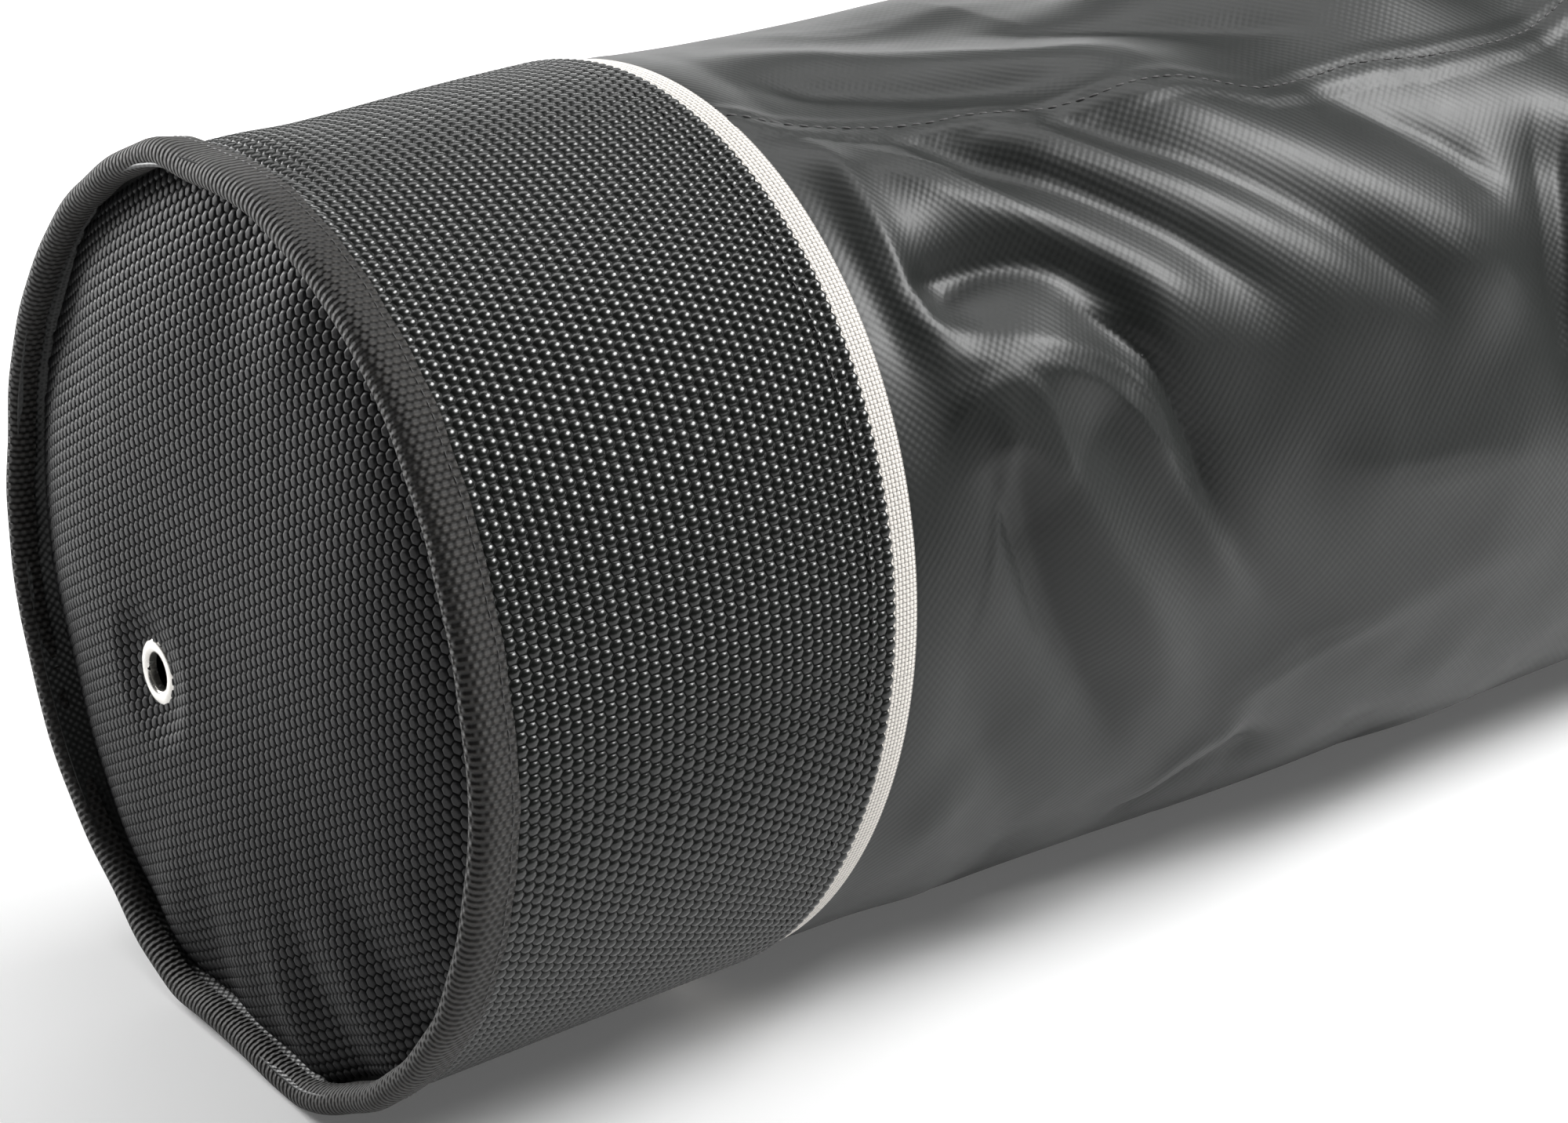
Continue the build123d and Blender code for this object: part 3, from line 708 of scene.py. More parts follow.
@finish_once
def pad_cloth():
    """Close woven cloth over foam, with fine diagonal yarns."""
    f = Finish("pad_cloth", looks().pad_colour, 0.72, Sheen_Weight=0.3, Sheen_Roughness=0.5)
    u, v = f.cloth()
    yarns = f.maths("MULTIPLY", *(f.wave(f.maths(way, u, v), 0.0013) for way in ("ADD", "SUBTRACT")))
    f.tint(f.maths("MULTIPLY_ADD", yarns, 0.25, f.noise(45.0)), 0.6, 1.6, 0.2, 0.9)
    f.bump(yarns, 0.0002, 0.8)
    return f


@finish_once
def pad_mesh():
    """Open spacer mesh on the side of a pad that lies on the back."""
    f = Finish("pad_mesh", looks().pad_colour, 0.8, 0.8)
    holes = f.cells(380.0)
    f.tint(holes, 0.25, 1.8, 0.1, 0.6)
    f.bump(holes, 0.0005, 0.9)
    return f


@finish_once
def closure_pile():
    f = Finish("closure_pile", looks().webbing_colour, 0.85, Sheen_Weight=0.5)
    tufts = f.cells(900.0)
    f.tint(tufts, 0.5, 2.0, 0.0, 0.8)
    f.bump(tufts, 0.0004, 0.9)
    return f


@finish_once
def nickel():
    f = Finish("nickel", (0.78, 0.76, 0.72), 0.2, Metallic=0.9)
    f.tint(f.noise(220.0, 4.0), 0.86, 1.08)
    f.rough(400.0, 5.0, 0.16, 0.34)
    f.bump(f.noise(1200.0, 3.0, (1, 1, 6)), 0.00002, 0.4)
    return f


@finish_once
def moulded_plastic():
    f = Finish("moulded_plastic", looks().buckle_colour, 0.42)
    f.tint(f.noise(90.0), 0.85, 1.2)
    f.rough(300.0, 4.0, 0.36, 0.52)
    f.bump(f.noise(3500.0, 2.0), 0.00003, 0.6)
    return f


@finish_once
def clear_film():
    f = Finish("clear_film", (0.86, 0.89, 0.89), 0.12, Alpha=0.28, Coat_Weight=0.5, Coat_Roughness=0.08)
    f.rough(60.0, 4.0, 0.08, 0.24)
    f.bump(f.noise(26.0), 0.0012, 0.3)
    return f


@finish_once
def blank_card():
    f = Finish("blank_card", (0.8, 0.79, 0.74), 0.75)
    f.tint(f.noise(700.0, 4.0), 0.93, 1.04)
    f.bump(f.noise(1600.0), 0.00003, 0.5)
    return f


def dress(piece, *materials, second_on=None):
    """Gives a piece its materials. A second one is for the faces that second_on picks."""
    piece.data.materials.clear()
    for material in materials:
        piece.data.materials.append(material)
    if second_on is not None:
        index = np.zeros(len(piece.data.polygons), np.int32)
        index[second_on] = 1
        piece.data.polygons.foreach_set("material_index", index)
    return piece


def hand_over(piece, material, slot, body, *nodes):
    """Gives a finished piece its material, hides the CAD nodes that it stands for, and gives it its body."""
    if material:
        dress(piece, material)
    if nodes:
        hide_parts(*nodes)
    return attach(piece, body) if body else piece


# ---------------------------------------------------------------- settings
class RopeBagLooks(bpy.types.PropertyGroup):
    """Colours and textures of the bag."""

    tarpaulin_colour: FloatVectorProperty(
        name="Tarpaulin", description="Colour of the body and lid", default=(0.0078, 0.0092, 0.0084), min=0, max=1,
        subtype="COLOR",
    )
    band_colour: FloatVectorProperty(
        name="Lower band", description="Colour of the studded band", default=(0.005, 0.006, 0.005), min=0, max=1,
        subtype="COLOR",
    )
    base_colour: FloatVectorProperty(
        name="Base", description="Colour of the studded base", default=(0.0062, 0.0063, 0.0069), min=0, max=1,
        subtype="COLOR",
    )
    rim_colour: FloatVectorProperty(
        name="Rim tape", description="Colour of the tape round the base", default=(0.0075, 0.0064, 0.005), min=0,
        max=1, subtype="COLOR",
    )
    trim_colour: FloatVectorProperty(
        name="Trim tape", description="Colour of the pale trim", default=(0.74, 0.70, 0.65), min=0, max=1,
        subtype="COLOR",
    )
    webbing_colour: FloatVectorProperty(
        name="Webbing", description="Colour of straps and loops", default=(0.012, 0.012, 0.0125), min=0, max=1,
        subtype="COLOR",
    )
    pad_colour: FloatVectorProperty(
        name="Pads", description="Colour of the padded straps", default=(0.016, 0.017, 0.017), min=0, max=1,
        subtype="COLOR",
    )
    thread_colour: FloatVectorProperty(
        name="Thread", description="Colour of the stitching", default=(0.012, 0.011, 0.011), min=0, max=1,
        subtype="COLOR",
    )
    buckle_colour: FloatVectorProperty(
        name="Adjusters", description="Colour of the strap adjusters", default=(0.022, 0.022, 0.024), min=0, max=1,
        subtype="COLOR",
    )
    weave_pitch: FloatProperty(
        name="Weave pitch", description="Pitch of the tarpaulin's basket weave in millimetres", default=3.0, min=0.5,
        max=10,
    )


class RopeBagSizes(bpy.types.PropertyGroup):
    """Sizes of the visible detail, in millimetres."""

    foot_lean: FloatProperty(
        name="Lean of the foot", description="How far the foot leans back along X for each unit of height",
        default=0.085, min=0, max=0.2
    )
    foot_turn: FloatProperty(
        name="Turn of the foot", description="How far the rim stands back along X for each unit towards +Y",
        default=0.05, min=0, max=0.2
    )
    stud_pitch: FloatProperty(
        name="Stud pitch", description="Distance between studs in millimetres", default=3.65, min=1, max=10,
    )
    stud_height: FloatProperty(
        name="Stud height", description="Height of the band's studs in millimetres", default=0.95, min=0.1, max=3,
    )
    base_bulge: FloatProperty(
        name="Base bulge", description="How far the base's middle stands in front of its edge, in millimetres",
        default=11.5, min=0, max=15,
    )
    rim_wave: FloatProperty(
        name="Rim waviness", description="How far the rim tape wanders, in millimetres", default=0.9, min=0, max=4,
    )
    stitch_pitch: FloatProperty(
        name="Stitch pitch", description="Length of one stitch in millimetres", default=4.6, min=1, max=10,
    )
    body_rings: IntProperty(
        name="Body detail", description="Rows of points along the body", default=250, min=60, max=400,
    )


class RopeBagStage(bpy.types.PropertyGroup):
    """Camera and studio."""

    camera_place: FloatVectorProperty(
        name="Camera", description="Where the camera stands", default=(-0.8289, -0.9484, 0.640),
        subtype="TRANSLATION", unit="LENGTH",
    )
    camera_azimuth: FloatProperty(
        name="Azimuth", description="Direction that the camera looks from", default=math.radians(-37.87),
        subtype="ANGLE", unit="ROTATION",
    )
    camera_elevation: FloatProperty(
        name="Elevation", description="Angle that the camera looks down by", default=math.radians(24.41),
        subtype="ANGLE", unit="ROTATION",
    )
    lens: FloatProperty(
        name="Lens", description="Focal length in millimetres", default=93.6, min=20, max=300, unit="CAMERA",
    )
    room_light: FloatProperty(
        name="Room light", description="Strength of the even light all round", default=0.04, min=0, max=5,
    )


def looks():
    return bpy.context.scene.rope_bag_looks


def sizes():
    return bpy.context.scene.rope_bag_sizes


def studio():
    return bpy.context.scene.rope_bag_stage


# ---------------------------------------------------------------- stage
# Each lamp: name, place, what it points at, size (all in metres) and power in watts.
SOFTBOXES = (
    ("key_softbox", (0.94, -0.72, 1.33), (0.0, -0.05, 0.2), (0.95, 0.6), 48),
    ("top_softbox", (0.25, 0.6, 1.6), (0.05, 0.0, 0.2), (1.8, 0.9), 18),
    ("side_softbox", (-0.62, 1.6, 0.6), (-0.3, 0.0, 0.12), (0.6, 0.7), 38),
    ("back_softbox", (1.7, 2.0, 0.55), (0.1, 0.0, 0.25), (1.6, 0.8), 12),
)


def soft_light(name, place, target, size, power):
    light = bpy.data.lights.new(name, "AREA")
    light.shape = "RECTANGLE"
    light.size, light.size_y = size
    light.energy = power
    lamp = bpy.data.objects.new(name, light)
    lamp.location = place
    lamp.rotation_euler = (Vector(target) - Vector(place)).to_track_quat("-Z", "Y").to_euler()
    bpy.context.scene.collection.objects.link(lamp)


def build_stage():
    s = studio()
    scene = bpy.context.scene
    camera = bpy.data.objects.new("camera", bpy.data.cameras.new("camera"))
    scene.collection.objects.link(camera)
    camera.location = s.camera_place
    camera.rotation_euler = (math.pi / 2 - s.camera_elevation, 0, s.camera_azimuth)
    camera.data.lens = s.lens
    camera.data.sensor_width = 36
    camera.data.clip_end = 50
    scene.camera = camera

    half = 12.0
    floor = new_piece(
        "floor", [(x * half, y * half, 0) for x, y in ((-1, -1), (1, -1), (1, 1), (-1, 1))], [[0, 1, 2, 3]], sharp=0,
    )
    floor.location.z = -0.0006
    f = Finish("pale_floor", (0.9, 0.9, 0.9), 0.7, Emission_Color=(1, 1, 1, 1), Emission_Strength=0.1)
    f.tint(f.noise(3.0), 0.89 / 0.9, 0.91 / 0.9)
    dress(floor, f.material)

    scene.world = bpy.data.worlds.new("studio")
    scene.world.use_nodes = True
    sky = scene.world.node_tree.nodes["Background"].inputs
    sky[0].default_value = (1, 1, 1, 1)
    sky[1].default_value = s.room_light
    scene.view_settings.view_transform = "Standard"
    for lamp in SOFTBOXES:
        soft_light(*lamp)


# ---------------------------------------------------------------- base
WEBBING_WIDE = 25
WEBBING_THICK = 1.7
BASE_EDGE_R = 134.6
# Puckers round the base's edge: where they stand, in degrees, their width and their depth.
BASE_PUCKERS = (
    (-62, 5, 3.0), (-74, 5, -2.4), (-50, 5, -1.6), (-38, 5, 2.2), (-24, 6, -1.4), (-98, 6, 2.6), (-112, 6, -1.8),
    (86, 8, 1.6), (70, 6, -1.0), (150, 9, 1.4), (20, 10, 1.0), (205, 9, 1.3), (232, 7, -1.0),
)
EYELET_SEAT = span_x("drain_eyelet")[0] + 0.9
EYELET_LOW, EYELET_HIGH = reach_of("drain_eyelet")
EYELET_Y = (EYELET_LOW[1] + EYELET_HIGH[1]) / 2 - AXIS_Y
EYELET_Z = (EYELET_LOW[2] + EYELET_HIGH[2]) / 2 - AXIS_Z
FLANGE_R = (EYELET_HIGH[2] - EYELET_LOW[2]) / 2
BORE_R = 6.0


def base_front(y, z):
    """x of the base's front, in millimetres from the rim, at y and z from the bag's axis."""
    r, deg = np.hypot(y, z), np.degrees(np.arctan2(z, -y))
    edge_x = 10.6
    x = edge_x - sizes().base_bulge * (1 - np.clip(r / BASE_EDGE_R, 0, 1) ** 5)
    near_edge = ease(r, 70, 120)
    pucker = sum(depth * hump_at(deg, at, wide) for at, wide, depth in BASE_PUCKERS)
    lie = 0.5 * np.sin(y / 23 + z / 31 + 0.6) + 0.35 * np.sin(z / 17 - y / 29 + 2.0)
    x = x + pucker * near_edge * 0.8 + lie * (1 - near_edge * 0.6)
    from_eyelet = np.hypot(y - EYELET_Y, z - EYELET_Z)
    return x + (EYELET_SEAT - x) * (1 - ease(from_eyelet, FLANGE_R - 1, FLANGE_R + 16))


def base_point(flat, lift):
    """Puts flat points (z, y) from the axis on the base's front, standing lift millimetres out."""
    z, y = flat.T
    x = base_front(y, z) - lift
    ground = LIE_FLAT - BASE_EDGE_R
    kept = np.where(z < ground + 3, ground + 3 * np.exp(np.minimum((z - ground - 3) / 3, 0)), z)
    return in_space(x + lean(x, y, kept), y, kept)


def build_base_panel():
    up = sizes().stud_pitch * 1.04
    side = up * math.sqrt(3) / 2
    i, j = np.meshgrid(np.arange(-40, 41), np.arange(-40, 41), indexing="ij")
    y, z = (i * side).ravel(), ((j + 0.5 * (i % 2)) * up).ravel()
    kept = (np.hypot(y, z) < BASE_EDGE_R) & (np.hypot(y - EYELET_Y, z - EYELET_Z) > FLANGE_R - 2.6)
    levels = ((1.0, 0.0), (0.86, 0.35), (0.7, 0.88), (0.42, 1.0))
    cells = np.stack([z, y], 1)[kept]
    front = studs("studded_base", cells, base_point, sizes().stud_height * 0.62, up, levels)
    # The backing is a polar sheet about the eyelet's hole that widens to the base's own edge.
    rings = np.append(BORE_R + 1.2, np.linspace(14, BASE_EDGE_R + 0.8, 34))
    a = np.radians(all_round(3))
    t = ((rings - rings[0]) / (rings[-1] - rings[0]))[:, None]
    wide, hole = BASE_EDGE_R + 0.9, BORE_R * 1.2
    y = (1 - t) * (EYELET_Y + hole * np.cos(a)) + t * wide * np.cos(a)
    z = (1 - t) * (EYELET_Z + hole * np.sin(a)) + t * wide * np.sin(a)
    over, under = (
        base_point(np.stack([z.ravel(), y.ravel()], 1), -depth).reshape(*y.shape, 3) for depth in (0.15, 1.5)
    )
    back = slab("base_back", over, under, rings, np.append(all_round(3), 360) * MM_PER_DEG, wrap=True)
    hand_over(front, base_studs(), "studded_fabric", "bag", "base_panel")
    hand_over(back, fabric_back(), "studded_fabric", "bag")


def ripple(deg, *waves):
    """Sum of waves round the bag, each (height, how many, where it starts)."""
    a = np.radians(deg)
    return sum(height * np.sin(count * a + start) for height, count, start in waves)


def rim_wander(x, deg, place):
    """The folded tape's uneven lie: how far it moves along X and outward."""
    size = sizes().rim_wave
    dr = size * ripple(deg, (0.45, 7, 0.7), (0.3, 13, 2.1), (0.2, 29, 4.4))
    dx = size * ripple(deg, (0.5, 6, 3.0), (0.3, 11, 0.2), (0.2, 23, 1.1))
    pucker = 0.9 * hump_at(deg, 106, 6) - 1.4 * hump_at(deg, 96, 5)
    frill = 0.175 * ripple(deg, (1, 41, 1.0)) * (ease(place, 0.7, 1) + 1 - ease(place, 0, 0.3))
    flare = hump_at(deg, 205, 48)
    corner = hump_at(deg, 286, 9) - 0.4 * hump_at(deg, 262, 10)
    out = (dr + pucker) * (0.6 + 0.4 * ease(place, 0.0, 0.4)) - 0.5 + 2.2 * flare + 2.0 * corner
    return np.maximum(dx, -0.4) * 0.8 + frill - 2.0 * flare * (1 - place * 0.3), out + 0 * x


def build_rim():
    profile = (
        (13.6, 141.3), (9.0, 141.9), (4.6, 142.2), (1.5, 140.9), (0.3, 138.2), (1.3, 135.4), (4.2, 133.9),
        (7.4, 133.7),
    )
    rim = ring_tape("base_rim_tape", profile, 1.3, rim_wander, 0.9)
    hand_over(rim, rim_tape(), "rim_tape", "bag", "base_binding")
    degs = np.arange(0, 360.1, 0.9)
    dx, dr = rim_wander(0 * degs, degs, np.full(degs.shape, 0.05))
    stitches("rim_stitches", *surface_line(11.3 + dx, degs, 141.7 + dr), "bag", pitch=3.6, long=2.7, slot="rim_tape")


def build_eyelet():
    front = span_x("drain_eyelet")[0]
    inner, flange = BORE_R, FLANGE_R
    middle, half = (inner + flange) / 2, (flange - inner) / 2
    roll = [(front + 0.95 - 0.98 * math.sin(t), middle + half * math.cos(t)) for t in np.linspace(0.0, math.pi, 15)]
    barrel = ((2.2, inner), (3.3, inner), (3.3, inner + 0.7), (1.05, inner + 0.7), (1.0, flange - 0.4))
    washer = ((2.65, inner + 0.75), (2.65, flange - 0.3), (2.95, flange), (3.35, flange - 0.3), (3.45, inner + 0.75))
    barrel, washer = ([(front + x, r) for x, r in loop] for loop in (barrel, washer))
    moved = lean(0, EYELET_Y, EYELET_Z)
    slope = lean(0, EYELET_Y, EYELET_Z + 1) - moved
    turned = lean(0, EYELET_Y + 1, EYELET_Z) - moved
    centre = in_space(moved, EYELET_Y, EYELET_Z)
    for name, profile, node in (
        ("drain_eyelet_ring", roll + barrel, "drain_eyelet"), ("drain_washer_ring", washer, "drain_washer"),
    ):
        ring = lathe(name, profile, centre)
        for vertex in ring.data.vertices:
            vertex.co.x += slope * (vertex.co.z - centre[2]) + turned * (vertex.co.y - centre[1])
        hand_over(ring, nickel(), "eyelet_metal", "bag", node)


# ---------------------------------------------------------------- band, trim and tube
def build_band():
    _, end = span_x("lower_band")
    mm_per_deg = math.radians(BAND_R)
    girth = 360 * mm_per_deg
    around = int(round(girth / sizes().stud_pitch))
    pitch = girth / around
    along = pitch * math.sqrt(3) / 2
    first = 12.5
    rows = int(round((end - 1.2 - first) / along)) + 1
    i, j = np.meshgrid(np.arange(rows), np.arange(around), indexing="ij")
    cells = np.stack([((j + 0.5 * (i % 2)) * pitch).ravel(), (first + i * along).ravel()], 1)

    def lay(flat, lift):
        s, x = flat.T
        deg = s / mm_per_deg
        return spot(x, deg, BAND_R - 0.75 + lift + band_slack(x, deg))

    def same(flat):
        return np.stack([np.mod(flat[:, 0] + 1e-4, girth), flat[:, 1]], 1)

    top = studs("studded_band", cells, lay, sizes().stud_height, pitch, ((1.0, 0.0), (0.86, 0.48), (0.5, 0.93)), same)
    back = round_sleeve("band_back", np.linspace(2.0, end - 0.6, 26), BAND_R - 0.8, 0.85)
    hand_over(top, band_studs(), "studded_fabric", "bag", "lower_band")
    hand_over(back, fabric_back(), "studded_fabric", "bag")
    degs = np.arange(0, 360.1, 1.0)
    x = end - 7.6 + 0 * degs
    line = surface_line(x, degs, BAND_R - 0.1 + band_slack(x, degs))
    stitches("band_stitches", *line, "bag", pitch=sizes().stitch_pitch, thick=0.7, slot="studded_fabric")


def build_trim():
    low, high = span_x("trim_tape")
    xs = np.concatenate([[low, low + 6], np.linspace(span_x("lower_band")[1] - 4, high, 9)])
    outer = TUBE_R + 0.9 - np.where(xs > high - 0.5, 0.25, 0)
    trim = round_sleeve("pale_trim", xs, outer, 0.6, 1.0, shape=tape_slack)
    hand_over(trim, trim_ribbon(), "trim_tape", "bag", "trim_tape")


# The tube's lengthwise seam: (x, deg) along it.
SEAM = (
    (132, 77), (147, 76), (168, 73), (190, 70), (216, 67.5), (227, 67), (250, 64.5), (268, 63), (299, 62), (325, 58),
    (345, 58.5), (370, 59), (400, 57), (430, 57), (456, 59), (490, 64), (530, 70), (566, 74), (586, 75),
)


def build_body():
    first, last = span_x("body_tube")
    fine = sizes().body_rings - 48
    xs = np.concatenate([np.linspace(first, 128, 8), np.linspace(134, 482, fine), np.linspace(487, last, 40)])
    degs = np.concatenate([np.linspace(-76, 112, 212, endpoint=False), np.linspace(112, 284, 88, endpoint=False)])
    x, deg = np.meshgrid(xs, degs, indexing="ij")
    lies = tape_slack(x, deg) + seam_ridge(x, deg) - 1.1 * (1 - ease(x, 129, 138))
    over = spot(x, deg, TUBE_R + lies)
    # The inside follows every second column and every third row.
    picked = np.unique(np.append(np.arange(0, len(xs), 3), len(xs) - 1))
    under = spot(x[picked][:, ::2], deg[picked][:, ::2], TUBE_R - 1.2 + lies[picked][:, ::2])
    (rows, columns), (inner_rows, inner_columns) = over.shape[:2], under.shape[:2]
    start = rows * columns
    faces, places = quads(rows, columns, 0, True)
    more, inner_places = quads(inner_rows, inner_columns, start, True, True)
    places += [(picked[i], 2 * j) for i, j in inner_places]
    ends = []
    for i, k in ((0, 0), (rows - 1, inner_rows - 1)):
        for j in range(inner_columns):
            ring = [(i * columns + q % columns, q) for q in (2 * j, 2 * j + 1, 2 * j + 2)]
            ring += [(start + k * inner_columns + q % inner_columns, 2 * q) for q in (j + 1, j)]
            if i == 0:
                ring.reverse()
            ends.append([p for p, _ in ring])
            places += [(i, q) for _, q in ring]
    place = np.array(places)
    round_bag = np.append(degs, degs[0] + 360) * MM_PER_DEG
    uv = np.stack([round_bag[place[:, 1]], xs[place[:, 0]]], 1) / 1000
    points = np.concatenate([over.reshape(-1, 3), under.reshape(-1, 3)])
    body = face_outward(new_piece("tarpaulin_body", points, faces + more + ends, uv, sharp=0))
    dress(body, tarpaulin(), tarpaulin_inside(), second_on=slice(len(faces), None))
    hand_over(body, None, "tarpaulin", "bag", "body_tube")


def seam_deg(x):
    line = smooth_line(SEAM, 3)
    return np.interp(x + lean(np.asarray(x), 0, 0.93 * TUBE_R), line[:, 0], line[:, 1])


def seam_ridge(x, deg):
    """The tarpaulin's overlap along its lengthwise seam, thicker on one side of the stitching."""
    away = turn(deg, seam_deg(x)) * MM_PER_DEG
    there = ease(x, 124, 138) * (1 - ease(x, 590, 598))
    return there * (0.9 * ease(away, -8.5, -7.2) * (1 - ease(away, 3.0, 9.0)) - 0.55 * hump(away, 0, 1.3))


def build_seam():
    xs = np.arange(137, 583, 2.0)
    degs = seam_deg(xs)
    line = surface_line(xs, degs, TUBE_R + slack(xs, degs) + seam_ridge(xs, degs) + 0.2)
    stitches("seam_stitches", *line, "bag", pitch=sizes().stitch_pitch, long=3.7, thick=0.85, slot="tarpaulin")
    rows = np.linspace(*span_x("seam_backing"), 150)
    side = np.linspace(-11, 11, 9)
    x, s = np.meshgrid(rows, side, indexing="ij")
    deg = seam_deg(np.maximum(x, 137)) + s / MM_PER_DEG
    r = TUBE_R - 1.5 + tape_slack(x, deg)
    backing = slab("seam_backing_tape", spot(x, deg, r), spot(x, deg, r - 0.8), rows, side + 11)
    hand_over(backing, webbing(), "webbing", "bag", "seam_backing")


def build_mouth():
    low, high = span_x("mouth_binding")
    inside, outside = TUBE_R - 2.4, TUBE_R + 1.1

    def lie(x, deg, place):
        return ripple(deg, (0.3, 11, 0)) + 0 * x, ripple(deg, (0.2, 9, 1)) + 0 * x

    profile = (
        (low, inside + 0.1), (low + 6, inside), (high - 1.6, inside), (high - 0.1, TUBE_R - 0.4),
        (high - 1.5, outside), (low + 6, outside + 0.1), (low, outside),
    )
    tape = ring_tape("mouth_tape", profile, 0.9, lie, 1.5)
    hand_over(tape, rim_tape(), "rim_tape", "bag", "mouth_binding")
    line = surface_line(low + 2.6, np.arange(0, 360.1, 1.5), TUBE_R + 1.35)
    stitches("mouth_stitches", *line, "bag", pitch=4.2, slot="rim_tape")


def build_tie_loops():
    roof = TUBE_R - 2.1
    for node in ("rope_tie_loop_base", "rope_tie_loop_mouth"):
        low, high = reach_of(node)
        bottom = low[2] - AXIS_Z + 0.9
        half = [(s, math.sqrt(roof**2 - s**2)) for s in (-19, -16.5)]
        half += [(-15.2, 130), (-14.3, 122), (-13.9, bottom + 14), (-10, bottom + 4)]
        loop = half + [(0, bottom)] + [(-s, r) for s, r in reversed(half)]
        y, z = np.array(loop).T
        drop = band_slack(34.0, 90.0) if "base" in node else 0.0
        path = in_space((low[0] + high[0]) / 2 - RIM_X, y, z + drop)
        piece = ribbon(node.replace("rope_", "") + "_webbing", path, high[0] - low[0], (1, 0, 0), 1.6)
        hand_over(piece, webbing(), "webbing", "bag", node)


# ---------------------------------------------------------------- lid
# How far the lid's section is pressed flat, so that it lies on the same ground.
LID_FLAT = LID_HIGH[2] - 2 * AXIS_Z


def lid_lie(x, deg):
    return ripple(deg, (0.28, 5, 0.5), (0.2, 9, x / 9))


def lid_panel_x(y, z, front):
    r = np.hypot(y, z)
    away = 1 - np.clip(r / 140, 0, 1) ** 2
    pocket = ease(np.maximum(np.abs(y) / 62, np.abs(z) / 42), 0.85, 1.5)
    return front + (0.5 * np.sin(y / 27 + z / 35) + 0.4 * np.sin(z / 22 - y / 41 + 1)) * away * pocket - 0.3 * pocket


def build_lid_cover():
    _, back = span_x("lid_panel")
    low, _ = span_x("lid_skirt")
    outer = reach_of("lid_skirt")[1][2] - AXIS_Z
    xs = np.concatenate([np.linspace(low, back - 2, 22), [back - 1.0, back - 0.2]])
    skirt = round_sleeve(
        "lid_skirt_cloth", xs, np.where(xs > back - 0.6, outer - 0.5, outer), 1.1, flat=LID_FLAT, shape=lid_lie,
    )
    hand_over(skirt, tarpaulin(), "tarpaulin", "lid", "lid_skirt")
    edge = outer - 1.3
    rings = np.append(0.5, np.linspace(5, edge, 60))
    degs = all_round(2.0)
    r, deg = np.meshgrid(rings, degs, indexing="ij")
    out, _ = directions(deg)
    y, z = np.moveaxis(out[..., 1:] * np.minimum(r, pressed(deg, 0 * r + edge, LID_FLAT))[..., None], -1, 0)
    x = lid_panel_x(y, z, back)
    panel = slab(
        "lid_panel_cloth", in_space(x, y, z), in_space(x - 1.3, y, z), rings, np.append(degs, 360) * MM_PER_DEG,
        wrap=True,
    )
    remap_flat(panel)
    hand_over(panel, tarpaulin(), "tarpaulin", "lid", "lid_panel")


def remap_flat(piece):
    """Cloth coordinates straight from Y and Z, for a panel across the bag."""
    co, corner = corner_points(piece.data)
    piece.data.uv_layers["cloth"].uv.foreach_set("vector", co[corner][:, 1:].astype(np.float32).ravel())


def build_lid_tapes():
    low, high = span_x("lid_binding")
    out = LID_HIGH[2] - AXIS_Z
    leg = 11.0

    def lie(x, deg, place):
        return ripple(deg, (0.25, 9, 0.5)) - 0.25 + 0 * x, ripple(deg, (0.3, 7, 2)) - 0.35 + lid_lie(x, deg) * 0.6

    profile = (
        (high - 1.2, out - leg - 1.2), (high - 0.3, out - leg), (high, out - 6), (high - 0.2, out - 1.6),
        (high - 1.6, out - 0.2), (high - 6, out), (low + 0.4, out - 0.1), (low, out - 0.7),
    )
    tape = ring_tape("lid_binding_tape", profile, 1.1, lie, 1.2, LID_FLAT)
    hand_over(tape, rim_tape(), "rim_tape", "lid", "lid_binding")
    hem_low, hem_high = span_x("lid_hem")
    hem_out = reach_of("lid_hem")[1][2] - AXIS_Z
    fall = np.array([0.5, 0.1, 0, 0, 0, 0, 0, 0.1, 0.5])
    hem = round_sleeve(
        "lid_hem_tape", np.linspace(hem_low, hem_high, 9), hem_out - fall, 0.85, flat=LID_FLAT, shape=lid_lie,
    )
    hand_over(hem, rim_tape(), "rim_tape", "lid", "lid_hem")
    degs = np.arange(0, 360.1, 1.5)
    for name, x, r, share, pitch, long in (
        ("lid_tape_stitches", low + 2.4, out - 0.2, 0.6, 3.8, 2.8),
        ("hem_stitches_outer", hem_low + 2.4, hem_out + 0.1, 1, 4.2, 3.2),
        ("hem_stitches_inner", hem_high - 2.4, hem_out + 0.1, 1, 4.2, 3.2),
    ):
        line = surface_line(x, degs, r + lid_lie(x, degs) * share, LID_FLAT)
        stitches(name, *line, "lid", pitch=pitch, long=long, slot="rim_tape")


def build_closure():
    for node, body, name in (("hook_patch", "lid", "hook_tape"), ("loop_patch", "bag", "loop_tape")):
        front = AXIS_Y - reach_of(node)[0][1]
        piece = patch(name, *span_x(node), front - 1.0, front, 0, 34.0, 1.0)
        hand_over(piece, closure_pile(), "closure_tape", body, node)


def build_pull_tab():
    low, high = span_x("lid_pull_tab")
    out = AXIS_Y - reach_of("lid_pull_tab")[0][1]
    points = (
        (low + 0.5, out - 0.7), (low + 6, out - 0.5), (low + 16, out - 0.55), (high - 10, out - 0.75),
        (high, out - 0.85),
    )
    tab = ribbon("pull_tab_webbing", strap_path(points, 0.0), WEBBING_WIDE, (0, 0, -1), WEBBING_THICK)
    hand_over(tab, webbing(), "webbing", "lid", "lid_pull_tab")
    box_stitches("pull_tab_stitches", crossed(high - 3, high - 17, 10), 0.0, out + 0.05, "lid")


